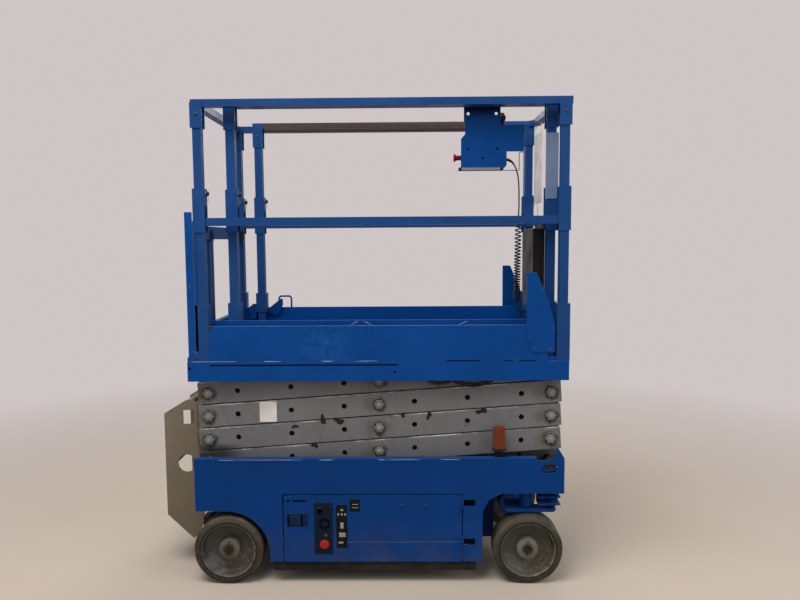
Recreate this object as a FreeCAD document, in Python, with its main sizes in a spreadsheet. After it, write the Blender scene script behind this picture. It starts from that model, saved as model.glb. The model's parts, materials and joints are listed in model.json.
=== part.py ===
"""Scissor lift: a slab machine on four solid tyres, with a four-level scissor stack, a guard-railed
platform and a roll-out deck. X points to the steering end, Y across, Z up, in millimetres.
The origin is on the floor, midway between the ladder's rear face and the platform's front end."""
import FreeCAD, Part
import Sketcher
import math
import os
import re

doc = FreeCAD.newDocument("ScissorLift")
sheet = doc.addObject("Spreadsheet::Sheet", "Sizes")

# Each row: the size's name, its value (millimetres, or degrees where the note says so), what it is
SIZES = (
    ("front_axle_x", 740, "steering axle, ahead of the origin"),
    ("wheelbase", 1320, "between the axles"),
    ("tyre_outer_y", 380, "outer face of a tyre, from the middle plane"),
    ("tyre_width", 114, "tyre, across"),
    ("tyre_radius", 152.5, "tyre, tread"),
    ("tyre_shoulder", 12, "chamfer between tread and side wall"),
    ("rim_radius", 122, "tyre's inside and rim's outside"),
    ("rim_wall", 7, "rim, thickness"),
    ("disc_recess", 42, "wheel disc, behind the tyre's outer face"),
    ("disc_wall", 12, "wheel disc, thickness"),
    ("cap_radius", 47, "hub cap"),
    ("cap_proud", 28, "hub cap, out from the disc"),
    ("hub_radius", 40, "boss behind the disc"),
    ("hub_depth", 40, "boss behind the disc, length"),
    ("axle_radius", 22, "stub axles"),
    ("running_gap", 0.05, "radial clearance of a shaft in a bore"),
    ("chassis_rear_x", -721, "chassis, rear face"),
    ("chassis_front_x", 895, "chassis, front face"),
    ("chassis_side_y", 372, "chassis, outer face of its sides"),
    ("side_wall", 8, "chassis sides and ends, thickness"),
    ("chassis_top", 565, "chassis, top edge"),
    ("chassis_low", 100, "chassis, underside"),
    ("end_plate_top", 462, "chassis end plates, top, under the arms' ends"),
    ("sill_z", 407, "underside of the chassis sides over the front wheels"),
    ("rear_lip_z", 330, "underside of the chassis sides at the rear end"),
    ("plate_wall", 6, "deck, floor and spine plates, thickness"),
    ("rear_arch_x", -590, "rear wheel arch, centre"),
    ("rear_arch_z", 135, "rear wheel arch, centre height"),
    ("rear_arch_radius", 195, "rear wheel arch"),
    ("front_arch_x", 540, "front wheel arch, rear edge"),
    ("front_arch_knee_z", 326, "front wheel arch, height where its slope starts"),
    ("front_arch_slope", 84, "front wheel arch, length of its slope"),
    ("spine_half_width", 115, "box under the deck, half its width"),
    ("spine_front_x", 620, "box under the deck, front end"),
    ("axle_box_length", 120, "rear axle box, along the machine"),
    ("axle_box_low", 105, "rear axle box, underside"),
    ("axle_box_high", 200, "rear axle box, top"),
    ("axle_box_y", 240, "rear axle box, ends"),
    ("door_rear_x", -333, "tray door, free edge"),
    ("door_front_x", 449, "tray door, hinged edge"),
    ("door_low", 99, "tray door, lower edge"),
    ("door_high", 402, "tray door, upper edge"),
    ("door_gap", 5, "around the tray doors"),
    ("door_corner", 34, "tray door, cut of its upper rear corner"),
    ("hinge_y", 374, "tray door hinge pins, from the middle plane"),
    ("knuckle_radius", 5.5, "tray door hinge knuckles"),
    ("hinge_pin_radius", 2.5, "tray door hinge pins"),
    ("knuckle_height", 30, "middle knuckle"),
    ("knuckle_end", 10, "outer knuckles"),
    ("hinge_low_z", 189, "lower hinge, middle"),
    ("hinge_high_z", 365, "upper hinge, middle"),
    ("hinge_notch_x", 508, "notch beside each hinge, its far end"),
    ("tray_rear_x", -262, "tray, free end"),
    ("tray_front_x", 429, "tray, hinged end"),
    ("tray_inner_y", 126, "tray, inner side"),
    ("tray_block_x", 560, "tray's load, length"),
    ("tray_block_y", 190, "tray's load, width"),
    ("tray_block_z", 255, "tray's load, height"),
    ("guard_start", 198, "pothole guard, its rear end ahead of the rear axle"),
    ("guard_front_x", 512, "pothole guard, front end"),
    ("guard_low", 56, "pothole guard, lower edge"),
    ("guard_high", 93, "pothole guard, upper edge"),
    ("guard_y", 348, "pothole guard rods, from the middle plane"),
    ("guard_rod_radius", 8, "pothole guard rods"),
    ("guard_rod_top", 190, "pothole guard rods, top"),
    ("guard_rod_inset", 14, "pothole guard rods, in from the guard's ends"),
    ("guide_low", 125, "guides of the rods, lower end"),
    ("guide_high", 165, "guides of the rods, upper end"),
    ("king_y", 300, "kingpins, from the middle plane"),
    ("king_radius", 15, "kingpins"),
    ("king_boss_radius", 29, "bosses round the kingpins"),
    ("king_boss_low", 329, "bosses round the kingpins, lower end"),
    ("yoke_low", 312, "yoke's top plate, underside"),
    ("yoke_wall", 12, "yoke plates, thickness"),
    ("yoke_leg_y", 214, "yoke's leg, inner face"),
    ("yoke_leg_half", 42, "yoke's leg, half its width"),
    ("yoke_rear", 98, "yoke's top plate, back from the kingpin"),
    ("motor_radius", 58, "wheel motor"),
    ("motor_length", 60, "wheel motor, inboard of the leg"),
    ("steer_arm", 116, "kingpin to tie-rod pin"),
    ("steer_pin_radius", 8, "tie-rod pins"),
    ("tie_rod_radius", 8, "tie rod"),
    ("tie_rod_z", 334, "tie rod, height"),
    ("tie_eye_radius", 20, "tie rod's eyes"),
    ("tie_eye_height", 14, "tie rod's eyes"),
    ("fixed_pin_x", -663, "scissor's fixed pins"),
    ("base_pin_z", 535, "scissor's lowest pins"),
    ("level_rise", 104.3, "each level's rise when the stack is down"),
    ("arm_length", 1508.6, "arm, pin to pin"),
    ("arm_depth", 98, "arm, depth"),
    ("arm_width", 50, "arm, width"),
    ("arm_wall", 5, "arm, wall"),
    ("arm_over", 46, "arm, past its end pins"),
    ("arm_corner", 4, "arm, cut corners"),
    ("top_over", 40, "top level's arm, past its upper pin"),
    ("top_corner", 26, "top level's arm, cut corners at its upper pin"),
    ("outer_arm_y", 268, "outer arms, inner face"),
    ("inner_arm_y", 210, "inner arms, inner face"),
    ("arm_hole_radius", 12, "lightening holes"),
    ("arm_boss_radius", 26, "boss through an arm at each pin"),
    ("pin_radius", 16, "scissor pins"),
    ("pin_depth", 214, "scissor pins, inner end"),
    ("washer_radius", 24, "washers on the scissor pins"),
    ("washer_proud", 6, "washers, thickness"),
    ("pin_head_radius", 17, "heads of the scissor pins"),
    ("pin_head_proud", 14, "heads, out from the arm"),
    ("cross_tube_radius", 30, "tubes across the inner arms"),
    ("lug_y", 213, "chassis lugs, inner face"),
    ("lug_wall", 42, "chassis lugs, thickness"),
    ("lug_half", 38, "lugs, half their length"),
    ("track_y", 338, "channels of the sliding ends, open edge"),
    ("track_rear_x", 40, "channels of the sliding ends, rear end"),
    ("low_roller_radius", 21.5, "lower rollers"),
    ("high_roller_radius", 35.5, "upper rollers"),
    ("roller_gap", 0.5, "between a roller and its track"),
    ("barrel_radius", 42, "lift cylinder's barrel"),
    ("rod_radius", 27, "lift cylinder's rod"),
    ("eye_radius", 32, "lift cylinder's eyes"),
    ("eye_half", 28, "lift cylinder's eyes, half their width"),
    ("cylinder_lug_wall", 12, "lugs beside the cylinder's eyes"),
    ("cylinder_lug_gap", 3, "between an eye and its lugs"),
    ("barrel_above", 60, "barrel's pin, above that arm's centre line"),
    ("rod_below", 75, "rod's pin, below that arm's centre line"),
    ("platform_rear_x", -735, "platform frame, rear end"),
    ("platform_front_x", 908, "platform frame, front end"),
    ("platform_side_y", 375, "platform frame, sides"),
    ("platform_low", 909, "platform frame, underside"),
    ("platform_high", 994, "platform frame, top"),
    ("channel_wall", 6, "platform frame, wall"),
    ("floor_low", 1010, "platform floor, underside"),
    ("floor_wall", 4, "floor plates, thickness"),
    ("toe_top", 1150, "toe boards, top"),
    ("toe_rear_x", -636.5, "side toe boards, rear end"),
    ("toe_front_x", 816.5, "side toe boards, front end"),
    ("gate_plate_top", 1637, "rear corner plates, top"),
    ("gate_plate_width", 34, "rear corner plates, width"),
    ("rail_y", 350, "main rails, from the middle plane"),
    ("rail_rear_x", -665, "main rear posts"),
    ("rail_front_x", 881, "main front post, near side"),
    ("rail_front_far_x", 845, "main front post, far side"),
    ("post_half", 19, "lower posts, half their width"),
    ("upper_post_half", 18, "folding posts, half their width"),
    ("post_sleeve_half", 28, "sleeves at the posts' feet, half their width"),
    ("post_sleeve_proud", 5, "sleeves, out from the posts across the machine"),
    ("post_sleeve_top", 1240, "sleeves at the posts' feet, top"),
    ("bracket_half", 25.5, "fold brackets, half their width"),
    ("bracket_wall", 4, "fold brackets, thickness"),
    ("low_bracket_low", 1550, "lower fold brackets, lower end"),
    ("low_bracket_high", 1735, "lower fold brackets, upper end"),
    ("high_bracket_low", 1987, "upper fold brackets, lower end"),
    ("low_pivot_z", 1645, "lower fold pivots"),
    ("high_pivot_z", 2045, "upper fold pivots"),
    ("pivot_radius", 6, "fold pivot bolts"),
    ("pivot_end", 15, "folding posts, past their pivots"),
    ("web_low", 1672, "closed front of the lower brackets, lower end"),
    ("lower_post_top", 1612, "lower posts, top"),
    ("mid_rail_low", 1578, "middle rails, underside"),
    ("mid_rail_half", 17, "middle rails, half their width"),
    ("top_rail_low", 2074, "main top rail, underside"),
    ("top_rail_high", 2105, "main top rail, top"),
    ("inner_top_low", 2081, "roll-out top rail, underside"),
    ("inner_top_high", 2109, "roll-out top rail, top"),
    ("top_rail_half", 19, "top rails, half their width"),
    ("rail_end_x", 910, "near top rail, front end"),
    ("rail_overhang", 23, "top rails, past the rear posts"),
    ("lock_pin_z", 1715, "lock pins"),
    ("lock_pin_radius", 7, "lock pins' heads"),
    ("lock_pin_proud", 12, "lock pins' heads, length"),
    ("gate_half", 236, "gate, half its width"),
    ("gate_post_half", 12, "gate, half its thickness"),
    ("gate_top", 1578, "gate's top bar, top"),
    ("gate_bar_low", 1522, "gate's top bar, underside"),
    ("gate_low", 1150, "gate's lower bar, top"),
    ("gate_lower_low", 1032, "gate's lower bar, underside"),
    ("gate_pin_radius", 7, "gate's hinge pin"),
    ("gate_stile", 30, "gate's uprights, width"),
    ("gate_gap", 6, "between gate and posts"),
    ("gate_frame_width", 24, "posts beside the gate"),
    ("gusset_rear_x", 723, "gusset plates, rear edge"),
    ("gusset_front_x", 845, "gusset plates, front edge"),
    ("gusset_low", 1030, "gusset plates, lower edge"),
    ("gusset_top", 1374, "gusset plates, top"),
    ("gusset_flat", 40, "gusset plates, length of their top"),
    ("gusset_knee_x", 813, "gusset plates, foot of their steep slope"),
    ("gusset_knee_z", 1260, "gusset plates, foot of their steep slope"),
    ("gusset_wall", 4, "gusset plates, thickness"),
    ("deck_gap", 6, "between the floor and the roll-out deck"),
    ("deck_rear_x", -640, "roll-out deck, rear end"),
    ("deck_front_x", 875, "roll-out deck, front end"),
    ("deck_side_y", 304, "roll-out deck, sides"),
    ("deck_toe_top", 1166, "roll-out deck, top of its toe boards"),
    ("deck_toe_wall", 4, "roll-out deck, toe boards' thickness"),
    ("pad_gap", 0.3, "between a slide pad and the plate it runs on"),
    ("pad_length", 40, "slide pads"),
    ("inner_rail_y", 280, "roll-out rails, from the middle plane"),
    ("inner_rear_x", -543, "roll-out rear posts"),
    ("inner_front_x", 838, "roll-out front posts"),
    ("inner_sleeve_top", 1242, "sleeves of the roll-out rear posts, top"),
    ("inner_sleeve_low", 1145, "sleeves of the roll-out rear posts, lower end"),
    ("front_bar_x", 872, "roll-out top rail's front bar"),
    ("bend_radius", 60, "bend of the roll-out top rail"),
    ("grab_rear_x", -464, "grab handle on the far toe board, rear edge"),
    ("grab_front_x", -390, "grab handle, front edge"),
    ("grab_top", 1228, "grab handle, top"),
    ("grab_radius", 4.5, "grab handle's bar"),
    ("grab_bend", 14, "grab handle's bends, to the bar's middle"),
    ("sign_low", 1690, "sign board, lower edge"),
    ("sign_high", 2030, "sign board, top"),
    ("sign_near_y", 60, "sign board, near edge"),
    ("sign_far_y", 255, "sign board, far edge"),
    ("sign_x", 864, "sign board, rear face"),
    ("sign_wall", 3, "sign board, thickness"),
    ("plate_low", 1685, "post plate, lower edge"),
    ("plate_high", 1965, "post plate, top"),
    ("plate_half", 27.5, "post plate, half its width"),
    ("manual_low", 1200, "manual box, lower end"),
    ("manual_high", 1560, "manual box, top"),
    ("manual_near_y", -250, "manual box, near side"),
    ("manual_far_y", 10, "manual box, far side"),
    ("manual_rear_x", 770, "manual box, rear face"),
    ("manual_front_x", 848, "manual box, front face"),
    ("box_near_y", -250, "control box, near face"),
    ("box_far_y", -115, "control box, far face"),
    ("box_rear_x", 453, "control box, rear side"),
    ("box_front_x", 652, "control box, front side"),
    ("box_low", 1826, "control box, underside"),
    ("box_high", 1962, "control box, top at its slope"),
    ("box_neck_rear_x", 471, "control box, rear side of its upper part"),
    ("box_neck_front_x", 624, "control box, front side of its upper part"),
    ("box_knee_z", 1970, "control box, top of its flare"),
    ("hanger_wall", 4, "hanger plate, thickness"),
    ("hanger_rear_x", 465.5, "hanger plate, rear edge at its top"),
    ("body_inset", 12, "control box's body, in from its near plate"),
    ("hanger_hole_radius", 6.8, "hanger plate's holes"),
    ("hanger_hole_z", 2056.4, "hanger plate's holes, height"),
    ("hanger_hole_inset", 18.5, "hanger plate's holes, in from its edges"),
    ("shield_front_x", 725, "control box's guard plate, front edge"),
    ("shield_low", 1894, "control box's guard plate, lower edge"),
    ("shield_high", 2008, "control box's guard plate, top"),
    ("foot_low", 1815, "control box's foot plate, underside"),
    ("stop_radius", 16, "stop button"),
    ("stop_rear_x", 424.5, "stop button, its pressed face"),
    ("stop_z", 1875.5, "stop button, height"),
    ("stick_x", 634, "drive stick"),
    ("stick_radius", 20, "drive stick's grip"),
    ("cord_radius", 3, "control cord"),
    ("coil_radius", 15.5, "control cord's coil, outside"),
    ("gland_radius", 8, "cord glands"),
    ("ladder_rear_x", -910, "ladder, rear face"),
    ("ladder_y", 190, "ladder, sides"),
    ("ladder_wall", 5, "ladder, sides' thickness"),
    ("ladder_top", 786, "ladder, top"),
    ("ladder_shoulder_z", 723, "ladder, rear face's top"),
    ("ladder_knee_z", 243, "ladder, rear face's lower end"),
    ("ladder_foot_z", 128, "ladder, lower end"),
    ("ladder_step_x", -806, "ladder, top of its slope"),
    ("ladder_inner_x", -757, "ladder, edge beside the arms"),
    ("ladder_hole_radius", 41, "ladder, round hole in each side"),
    ("ladder_rung_radius", 13, "ladder, rungs"),
    ("beacon_x", 612, "beacons, middle"),
    ("beacon_half", 27, "beacons, half their length"),
    ("beacon_low", 597, "beacons, underside"),
    ("beacon_top", 707, "beacons, top"),
    ("beacon_inner_y", 343, "beacons, inner face"),
    ("beacon_outer_y", 370, "beacons, outer face"),
    ("panel_rear_x", -198, "ground control panel, rear edge"),
    ("panel_front_x", -118, "ground control panel, front edge"),
    ("panel_low", 137, "ground control panel, lower edge"),
    ("panel_high", 369, "ground control panel, top"),
    ("panel_proud", 3, "ground control panel, out from the door"),
    ("lashing_rear_x", 796, "lashing slots, rear end"),
    ("lashing_front_x", 865, "lashing slots, front end"),
    ("lashing_z", 518, "lashing slots, middle height"),
    ("lashing_radius", 20, "lashing slots, radius of their ends"),
    ("near_none", 0, "the middle plane"),
)

for row, (alias, value, note) in enumerate(SIZES, start=1):
    sheet.set(f"A{row}", note)
    sheet.set(f"B{row}", str(value))
    sheet.setAlias(f"B{row}", alias)
doc.recompute()
size = {alias: float(sheet.get(alias)) for alias, value, note in SIZES}

# The lift cylinder's places along the arms, as shares of their length
SHARES = {
    "barrel_along": 0.430863,      # barrel's pin, from the lowest inner arm's middle
    "barrel_length": 0.540236,     # barrel, from its pin to its open end
    "rod_along": 0.265146,         # rod's pin, from the third inner arm's middle
    "rod_tube_along": 0.198860,    # tube across the third inner arms, from their middle
}

NEAR, FAR = -1, 1
ALONG_X = FreeCAD.Rotation(FreeCAD.Vector(0, 1, 0), 90)
ALONG_Y = FreeCAD.Rotation(FreeCAD.Vector(1, 0, 0), -90)
ALONG_Z = FreeCAD.Rotation()
TURN = {"x": ALONG_X, "y": ALONG_Y, "z": ALONG_Z}
GUARD_REAR = "(front_axle_x - wheelbase + guard_start)"
parts = []


def cell(text):
    """The expression with each share written out, and each size's name pointed at its cell."""
    def named(word):
        if word[0] in SHARES:
            return f"(Sizes.arm_length * {SHARES[word[0]]})"
        return f"Sizes.{word[0]}" if word[0] in size else word[0]
    return re.sub(r"[a-z_]+", named, str(text))


def bind(item, prop, text):
    """Ties a property of an item to an expression of the sizes."""
    item.setExpression(prop, cell(text))


def place(item, x, y, z):
    """Ties an item's position to three expressions."""
    for axis, text in (("x", x), ("y", y), ("z", z)):
        bind(item, f"Placement.Base.{axis}", text)
    return item


def across(side, inner, outer):
    """A span in Y between two distances from the middle plane, on the near or far side."""
    return (inner, outer) if side == FAR else (f"-({outer})", f"-({inner})")


def box(x, y, z):
    """A box from its spans along X, Y and Z."""
    item = doc.addObject("Part::Box", "Box")
    for prop, (low, high) in (("Length", x), ("Width", y), ("Height", z)):
        bind(item, prop, f"({high}) - ({low})")
    return place(item, x[0], y[0], z[0])


def round_bar(axis, x, y, z, radius):
    """A cylinder along one axis: that axis has a span, the two others a position."""
    item = doc.addObject("Part::Cylinder", "Bar")
    spans = {"x": x, "y": y, "z": z}
    low, high = spans[axis]
    start = {key: span if key != axis else low for key, span in spans.items()}
    item.Placement = FreeCAD.Placement(FreeCAD.Vector(), TURN[axis])
    bind(item, "Radius", radius)
    bind(item, "Height", f"({high}) - ({low})")
    return place(item, start["x"], start["y"], start["z"])


def fuse(items):
    """One solid, or solids that don't touch, from several."""
    item = doc.addObject("Part::MultiFuse", "Fused")
    item.Shapes = items
    return item


def group(items):
    """Solids that share a node and don't touch."""
    item = doc.addObject("Part::Compound", "Group")
    item.Links = items
    return item


def cut(base, tools):
    """The base with the tools taken out."""
    item = doc.addObject("Part::Cut", "Cut")
    item.Base = base
    item.Tool = tools[0] if len(tools) == 1 else fuse(tools)
    return item


def sketch_outline(body, role, points):
    """A closed outline in a body's own plane; each corner is tied to two expressions."""
    sketch = body.newObject("Sketcher::SketchObject", "Outline")
    plane = [item for item in body.Origin.OriginFeatures if item.Role == role][0]
    sketch.AttachmentSupport = [(plane, "")]
    sketch.MapMode = "FlatFace"
    count = len(points)
    guess = [(100 * math.cos(math.tau * k / count),
              100 * math.sin(math.tau * k / count)) for k in range(count)]
    for k in range(count):
        start, end = guess[k], guess[(k + 1) % count]
        sketch.addGeometry(Part.LineSegment(FreeCAD.Vector(*start, 0), FreeCAD.Vector(*end, 0)), False)
    for k in range(count):
        sketch.addConstraint(Sketcher.Constraint("Coincident", k, 2, (k + 1) % count, 1))
    for k, corner in enumerate(points):
        for kind, value, text in (("DistanceX", guess[k][0], corner[0]), ("DistanceY", guess[k][1],
                                                                          corner[1])):
            index = sketch.addConstraint(Sketcher.Constraint(kind, -1, 1, k, 1, value))
            sketch.renameConstraint(index, f"{kind}{k}")
            bind(sketch, f"Constraints.{kind}{k}", text)
    return sketch


def prism(points, y):
    """A plate whose outline (x, z) runs between two places in Y."""
    body = doc.addObject("PartDesign::Body", "Plate")
    sketch = sketch_outline(body, "XZ_Plane", points)
    pad = body.newObject("PartDesign::Pad", "Pad")
    pad.Profile = sketch
    pad.Reversed = True
    bind(pad, "Length", f"({y[1]}) - ({y[0]})")
    bind(body, "Placement.Base.y", y[0])
    return body


def turned(points, x, z):
    """A round piece about an axle along Y: its outline (y, radius) is turned about the axle."""
    body = doc.addObject("PartDesign::Body", "Round")
    sketch = sketch_outline(body, "YZ_Plane", points)
    turn = body.newObject("PartDesign::Revolution", "Turn")
    turn.Profile = sketch
    turn.ReferenceAxis = (sketch, ["H_Axis"])
    turn.Angle = 360
    return place(body, x, "near_none", z)


def node(name, item):
    """Names a finished sub-part, which also names its file."""
    item.Label = name
    parts.append(item)
    return item


def both_sides(make):
    """The same solid made on the near and on the far side."""
    return [make(side) for side in (NEAR, FAR)]


def chassis():
    """The welded box: sides with wheel arches, ends, deck, spine, rear axle and pin lugs."""
    inner = "chassis_side_y - side_wall"

    def side_plate(side):
        y = across(side, inner, "chassis_side_y")
        wide = across(side, f"{inner} - side_wall", "chassis_side_y + side_wall")
        plate = box(("chassis_rear_x", "chassis_front_x"), y, ("chassis_low", "chassis_top"))
        arch = round_bar("y", "rear_arch_x", wide, "rear_arch_z", "rear_arch_radius")
        lip = box(("chassis_rear_x - side_wall", "rear_arch_x"), wide, ("chassis_low - side_wall",
                                                                        "rear_lip_z"))
        doorway = box(("door_rear_x - door_gap", "door_front_x + door_gap"), wide,
                      ("chassis_low - side_wall", "door_high + door_gap"))
        wheel_bay = prism((("front_arch_x", "chassis_low - side_wall"), ("front_arch_x",
                                                                         "front_arch_knee_z"),
                           ("front_arch_x + front_arch_slope / 3", "sill_z - front_arch_slope / 3"),
                           ("front_arch_x + front_arch_slope", "sill_z"),
                           ("chassis_front_x + side_wall", "sill_z"),
                           ("chassis_front_x + side_wall", "chassis_low - side_wall")), wide)
        slot_ends = [round_bar("y", x, wide, "lashing_z", "lashing_radius")
                     for x in ("lashing_rear_x + lashing_radius", "lashing_front_x - lashing_radius")]
        slot = box(("lashing_rear_x + lashing_radius", "lashing_front_x - lashing_radius"), wide,
                   ("lashing_z - lashing_radius", "lashing_z + lashing_radius"))
        notches = [box(("door_front_x", "hinge_notch_x"), wide,
                       (f"{z} - knuckle_height / 2 - running_gap",
                        f"{z} + knuckle_height / 2 + running_gap"))
                   for z in ("hinge_low_z", "hinge_high_z")]
        return cut(plate, [arch, lip, doorway, wheel_bay, slot] + slot_ends + notches)

    def hinge_ends(side):
        """Outer knuckles and pins of the tray door's hinges."""
        x = "door_front_x + door_gap / 2"
        y = f"{side} * hinge_y"
        pieces = []
        for z in ("hinge_low_z", "hinge_high_z"):
            half = "(knuckle_height / 2 + running_gap)"
            for low, high in ((f"{z} - {half} - knuckle_end", f"{z} - {half}"),
                              (f"{z} + {half}", f"{z} + {half} + knuckle_end")):
                pieces.append(round_bar("z", x, y, (low, high), "knuckle_radius"))
                pieces.append(box((x, f"{x} + knuckle_radius"), across(side, inner, "chassis_side_y"),
                                  (low, high)))
            pieces.append(round_bar("z", x, y, (f"{z} - {half} - knuckle_end",
                                                f"{z} + {half} + knuckle_end"),
                                    "hinge_pin_radius"))
        return pieces

    def guides(side):
        """Sleeves for the pothole guard's rods, behind the side plates."""
        pieces = []
        for x in (GUARD_REAR + " + guard_rod_inset", "guard_front_x - guard_rod_inset"):
            y = f"{side} * guard_y"
            sleeve = box((f"{x} - 2 * guard_rod_radius", f"{x} + 2 * guard_rod_radius"),
                         across(side, "guard_y - 2 * guard_rod_radius", inner), ("guide_low", "guide_high"))
            bore = round_bar("z", x, y, ("guide_low - 1", "guide_high + 1"),
                             "guard_rod_radius + running_gap")
            pieces.append(cut(sleeve, [bore]))
        return pieces

    ends = [box(("chassis_rear_x", "chassis_rear_x + side_wall"), (f"-({inner})", inner),
                ("rear_lip_z", "end_plate_top")),
            box(("chassis_front_x - side_wall", "chassis_front_x"), (f"-({inner})", inner),
                ("sill_z", "end_plate_top"))]
    deck = box(("chassis_rear_x", "chassis_front_x"), (f"-({inner})", inner),
               ("sill_z", "sill_z + plate_wall"))
    spine_x = ("chassis_rear_x", "spine_front_x")
    spine_y = ("-spine_half_width", "spine_half_width")
    spine = [box(spine_x, spine_y, ("chassis_low", "chassis_low + plate_wall"))]
    spine += both_sides(lambda side: box(spine_x, across(side, "spine_half_width - plate_wall",
                                                         "spine_half_width"),
                                         ("chassis_low", "sill_z")))
    spine += [box(x, spine_y, ("chassis_low", "sill_z"))
              for x in (("chassis_rear_x", "chassis_rear_x + plate_wall"),
                        ("spine_front_x - plate_wall", "spine_front_x"))]
    rear_x = "(front_axle_x - wheelbase)"
    axle_box = box((f"{rear_x} - axle_box_length / 2", f"{rear_x} + axle_box_length / 2"),
                   ("-axle_box_y", "axle_box_y"), ("axle_box_low", "axle_box_high"))
    stubs = both_sides(lambda side: round_bar("y", rear_x, across(side, "axle_box_y - 1", stub_end()),
                                              "tyre_radius",
                                              "axle_radius"))
    lugs = both_sides(lambda side: cut(
        prism((("fixed_pin_x - lug_half", "sill_z"), ("fixed_pin_x + lug_half", "sill_z"),
               ("fixed_pin_x + lug_half", "base_pin_z + lug_half / 2"), ("fixed_pin_x + lug_half / 2",
                                                                         "base_pin_z + lug_half"),
               ("fixed_pin_x - lug_half / 2", "base_pin_z + lug_half"), ("fixed_pin_x - lug_half",
                                                                         "base_pin_z + lug_half / 2")),
              across(side, "lug_y", "lug_y + lug_wall")),
        [round_bar("y", "fixed_pin_x", across(side, "lug_y - 1", "lug_y + lug_wall + 1"), "base_pin_z",
                   "pin_radius + running_gap")]))
    king_bosses = both_sides(lambda side: round_bar("z", "front_axle_x", f"{side} * king_y",
                                                    ("king_boss_low", "sill_z"), "king_boss_radius"))
    king_bores = both_sides(lambda side: round_bar("z", "front_axle_x", f"{side} * king_y",
                                                   ("king_boss_low - 1", "sill_z + plate_wall + 1"),
                                                   "king_radius + running_gap"))
    pocket_x = ("chassis_front_x - 108", "chassis_front_x - 11")

    def pocket(side):
        """An open channel with two bolts, hung under the deck ahead of the kingpin."""
        y = across(side, "king_y - 10", "king_y + 50")
        flanges = [box(pocket_x, y, z) for z in (("sill_z - 61", "sill_z - 55"),
                                                 ("sill_z - 28", "sill_z - 22"))]
        web = box(pocket_x, across(side, "king_y - 10", "king_y - 4"), ("sill_z - 61", "sill_z"))
        bolts = [round_bar("y", x, across(side, "king_y - 5", "king_y + 18"), "sill_z - 41", "8")
                 for x in ("chassis_front_x - 84", "chassis_front_x - 40")]
        return flanges + [web] + bolts

    top_lips = both_sides(lambda side: box(("chassis_rear_x", "chassis_front_x"),
                                           across(side, "track_y", inner), ("chassis_top - side_wall",
                                                                            "chassis_top")))
    body = fuse(both_sides(side_plate) + ends + [deck] + spine + [axle_box] + stubs + lugs + king_bosses + top_lips
                + hinge_ends(NEAR) + hinge_ends(FAR) + guides(NEAR) + guides(FAR) + pocket(NEAR) + pocket(FAR))
    teeth = both_sides(lambda side: prism((("chassis_front_x - 50", "chassis_top - 12"),
                                           ("chassis_front_x - 1",
                                            "chassis_top - 12"), ("chassis_front_x - 1", "chassis_top"),
                                           ("chassis_front_x - 30", "chassis_top + 48")),
                                          across(side, "chassis_side_y - side_wall + 1",
                                                 "chassis_side_y - 2")))
    steps = [box(("chassis_front_x - 120", "chassis_front_x + 1"), across(side, "track_y - 1",
                                                                          "chassis_side_y + 1"),
                 ("chassis_top - 10", "chassis_top + 1")) for side in (NEAR, FAR)]
    node("chassis_frame", fuse([cut(body, king_bores + steps)] + teeth))


def stub_end():
    """Outer end of the stub axles, inside the wheel's boss."""
    return "tyre_outer_y - disc_recess - disc_wall"


def lower_tracks():
    """Ledges that carry the scissor's lower rollers, on the chassis sides."""
    roller_low = "base_pin_z - low_roller_radius - roller_gap"
    node("lower_tracks", group(both_sides(lambda side: box(
        ("track_rear_x", "chassis_front_x - side_wall"), across(side, "track_y",
                                                                "chassis_side_y - side_wall"),
        (f"{roller_low} - side_wall", roller_low)))))


def tray_door(side, name):
    """A chassis side door with the tray it carries, hinged at its front edge."""
    outer = "chassis_side_y"
    inner = f"{outer} - side_wall"
    skin = prism((("door_rear_x", "door_low"), ("door_front_x", "door_low"), ("door_front_x", "door_high"),
                  ("door_rear_x + door_corner", "door_high"),
                  ("door_rear_x + door_corner / 3", "door_high - door_corner / 3"),
                  ("door_rear_x", "door_high - door_corner")), across(side, inner, outer))
    x = "door_front_x + door_gap / 2"
    y = f"{side} * hinge_y"
    pieces, bores = [], []
    for z in ("hinge_low_z", "hinge_high_z"):
        half = "knuckle_height / 2"
        pieces.append(round_bar("z", x, y, (f"{z} - {half}", f"{z} + {half}"), "knuckle_radius"))
        pieces.append(box((f"{x} - knuckle_radius", x), across(side, inner, outer),
                          (f"{z} - {half}", f"{z} + {half}")))
        bores.append(round_bar("z", x, y, (f"{z} - {half} - 1", f"{z} + {half} + 1"),
                               "hinge_pin_radius + running_gap"))
        for low, high in ((f"{z} - {half} - knuckle_end - 1", f"{z} - {half}"),
                          (f"{z} + {half}", f"{z} + {half} + knuckle_end + 1")):
            bores.append(box((f"{x} - knuckle_radius - 1", f"{x} + knuckle_radius + 1"),
                             across(side, f"{inner} - 1", f"{outer} + 9"), (low, high)))
    floor = box(("tray_rear_x", "tray_front_x"), across(side, "tray_inner_y", outer + " - side_wall"),
                ("door_low + plate_wall", "door_low + 2 * plate_wall"))
    door = cut(fuse([skin, floor] + pieces), bores)
    node(name, door)


def tray_load(side, name):
    """The heavy mass on a tray, as one plain block."""
    middle_x = "(tray_rear_x + tray_front_x) / 2"
    middle_y = "(tray_inner_y + chassis_side_y - side_wall) / 2"
    floor_top = "door_low + 2 * plate_wall"
    node(name, box((f"{middle_x} - tray_block_x / 2", f"{middle_x} + tray_block_x / 2"),
                   across(side, f"{middle_y} - tray_block_y / 2", f"{middle_y} + tray_block_y / 2"),
                   (floor_top, f"{floor_top} + tray_block_z")))


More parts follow.
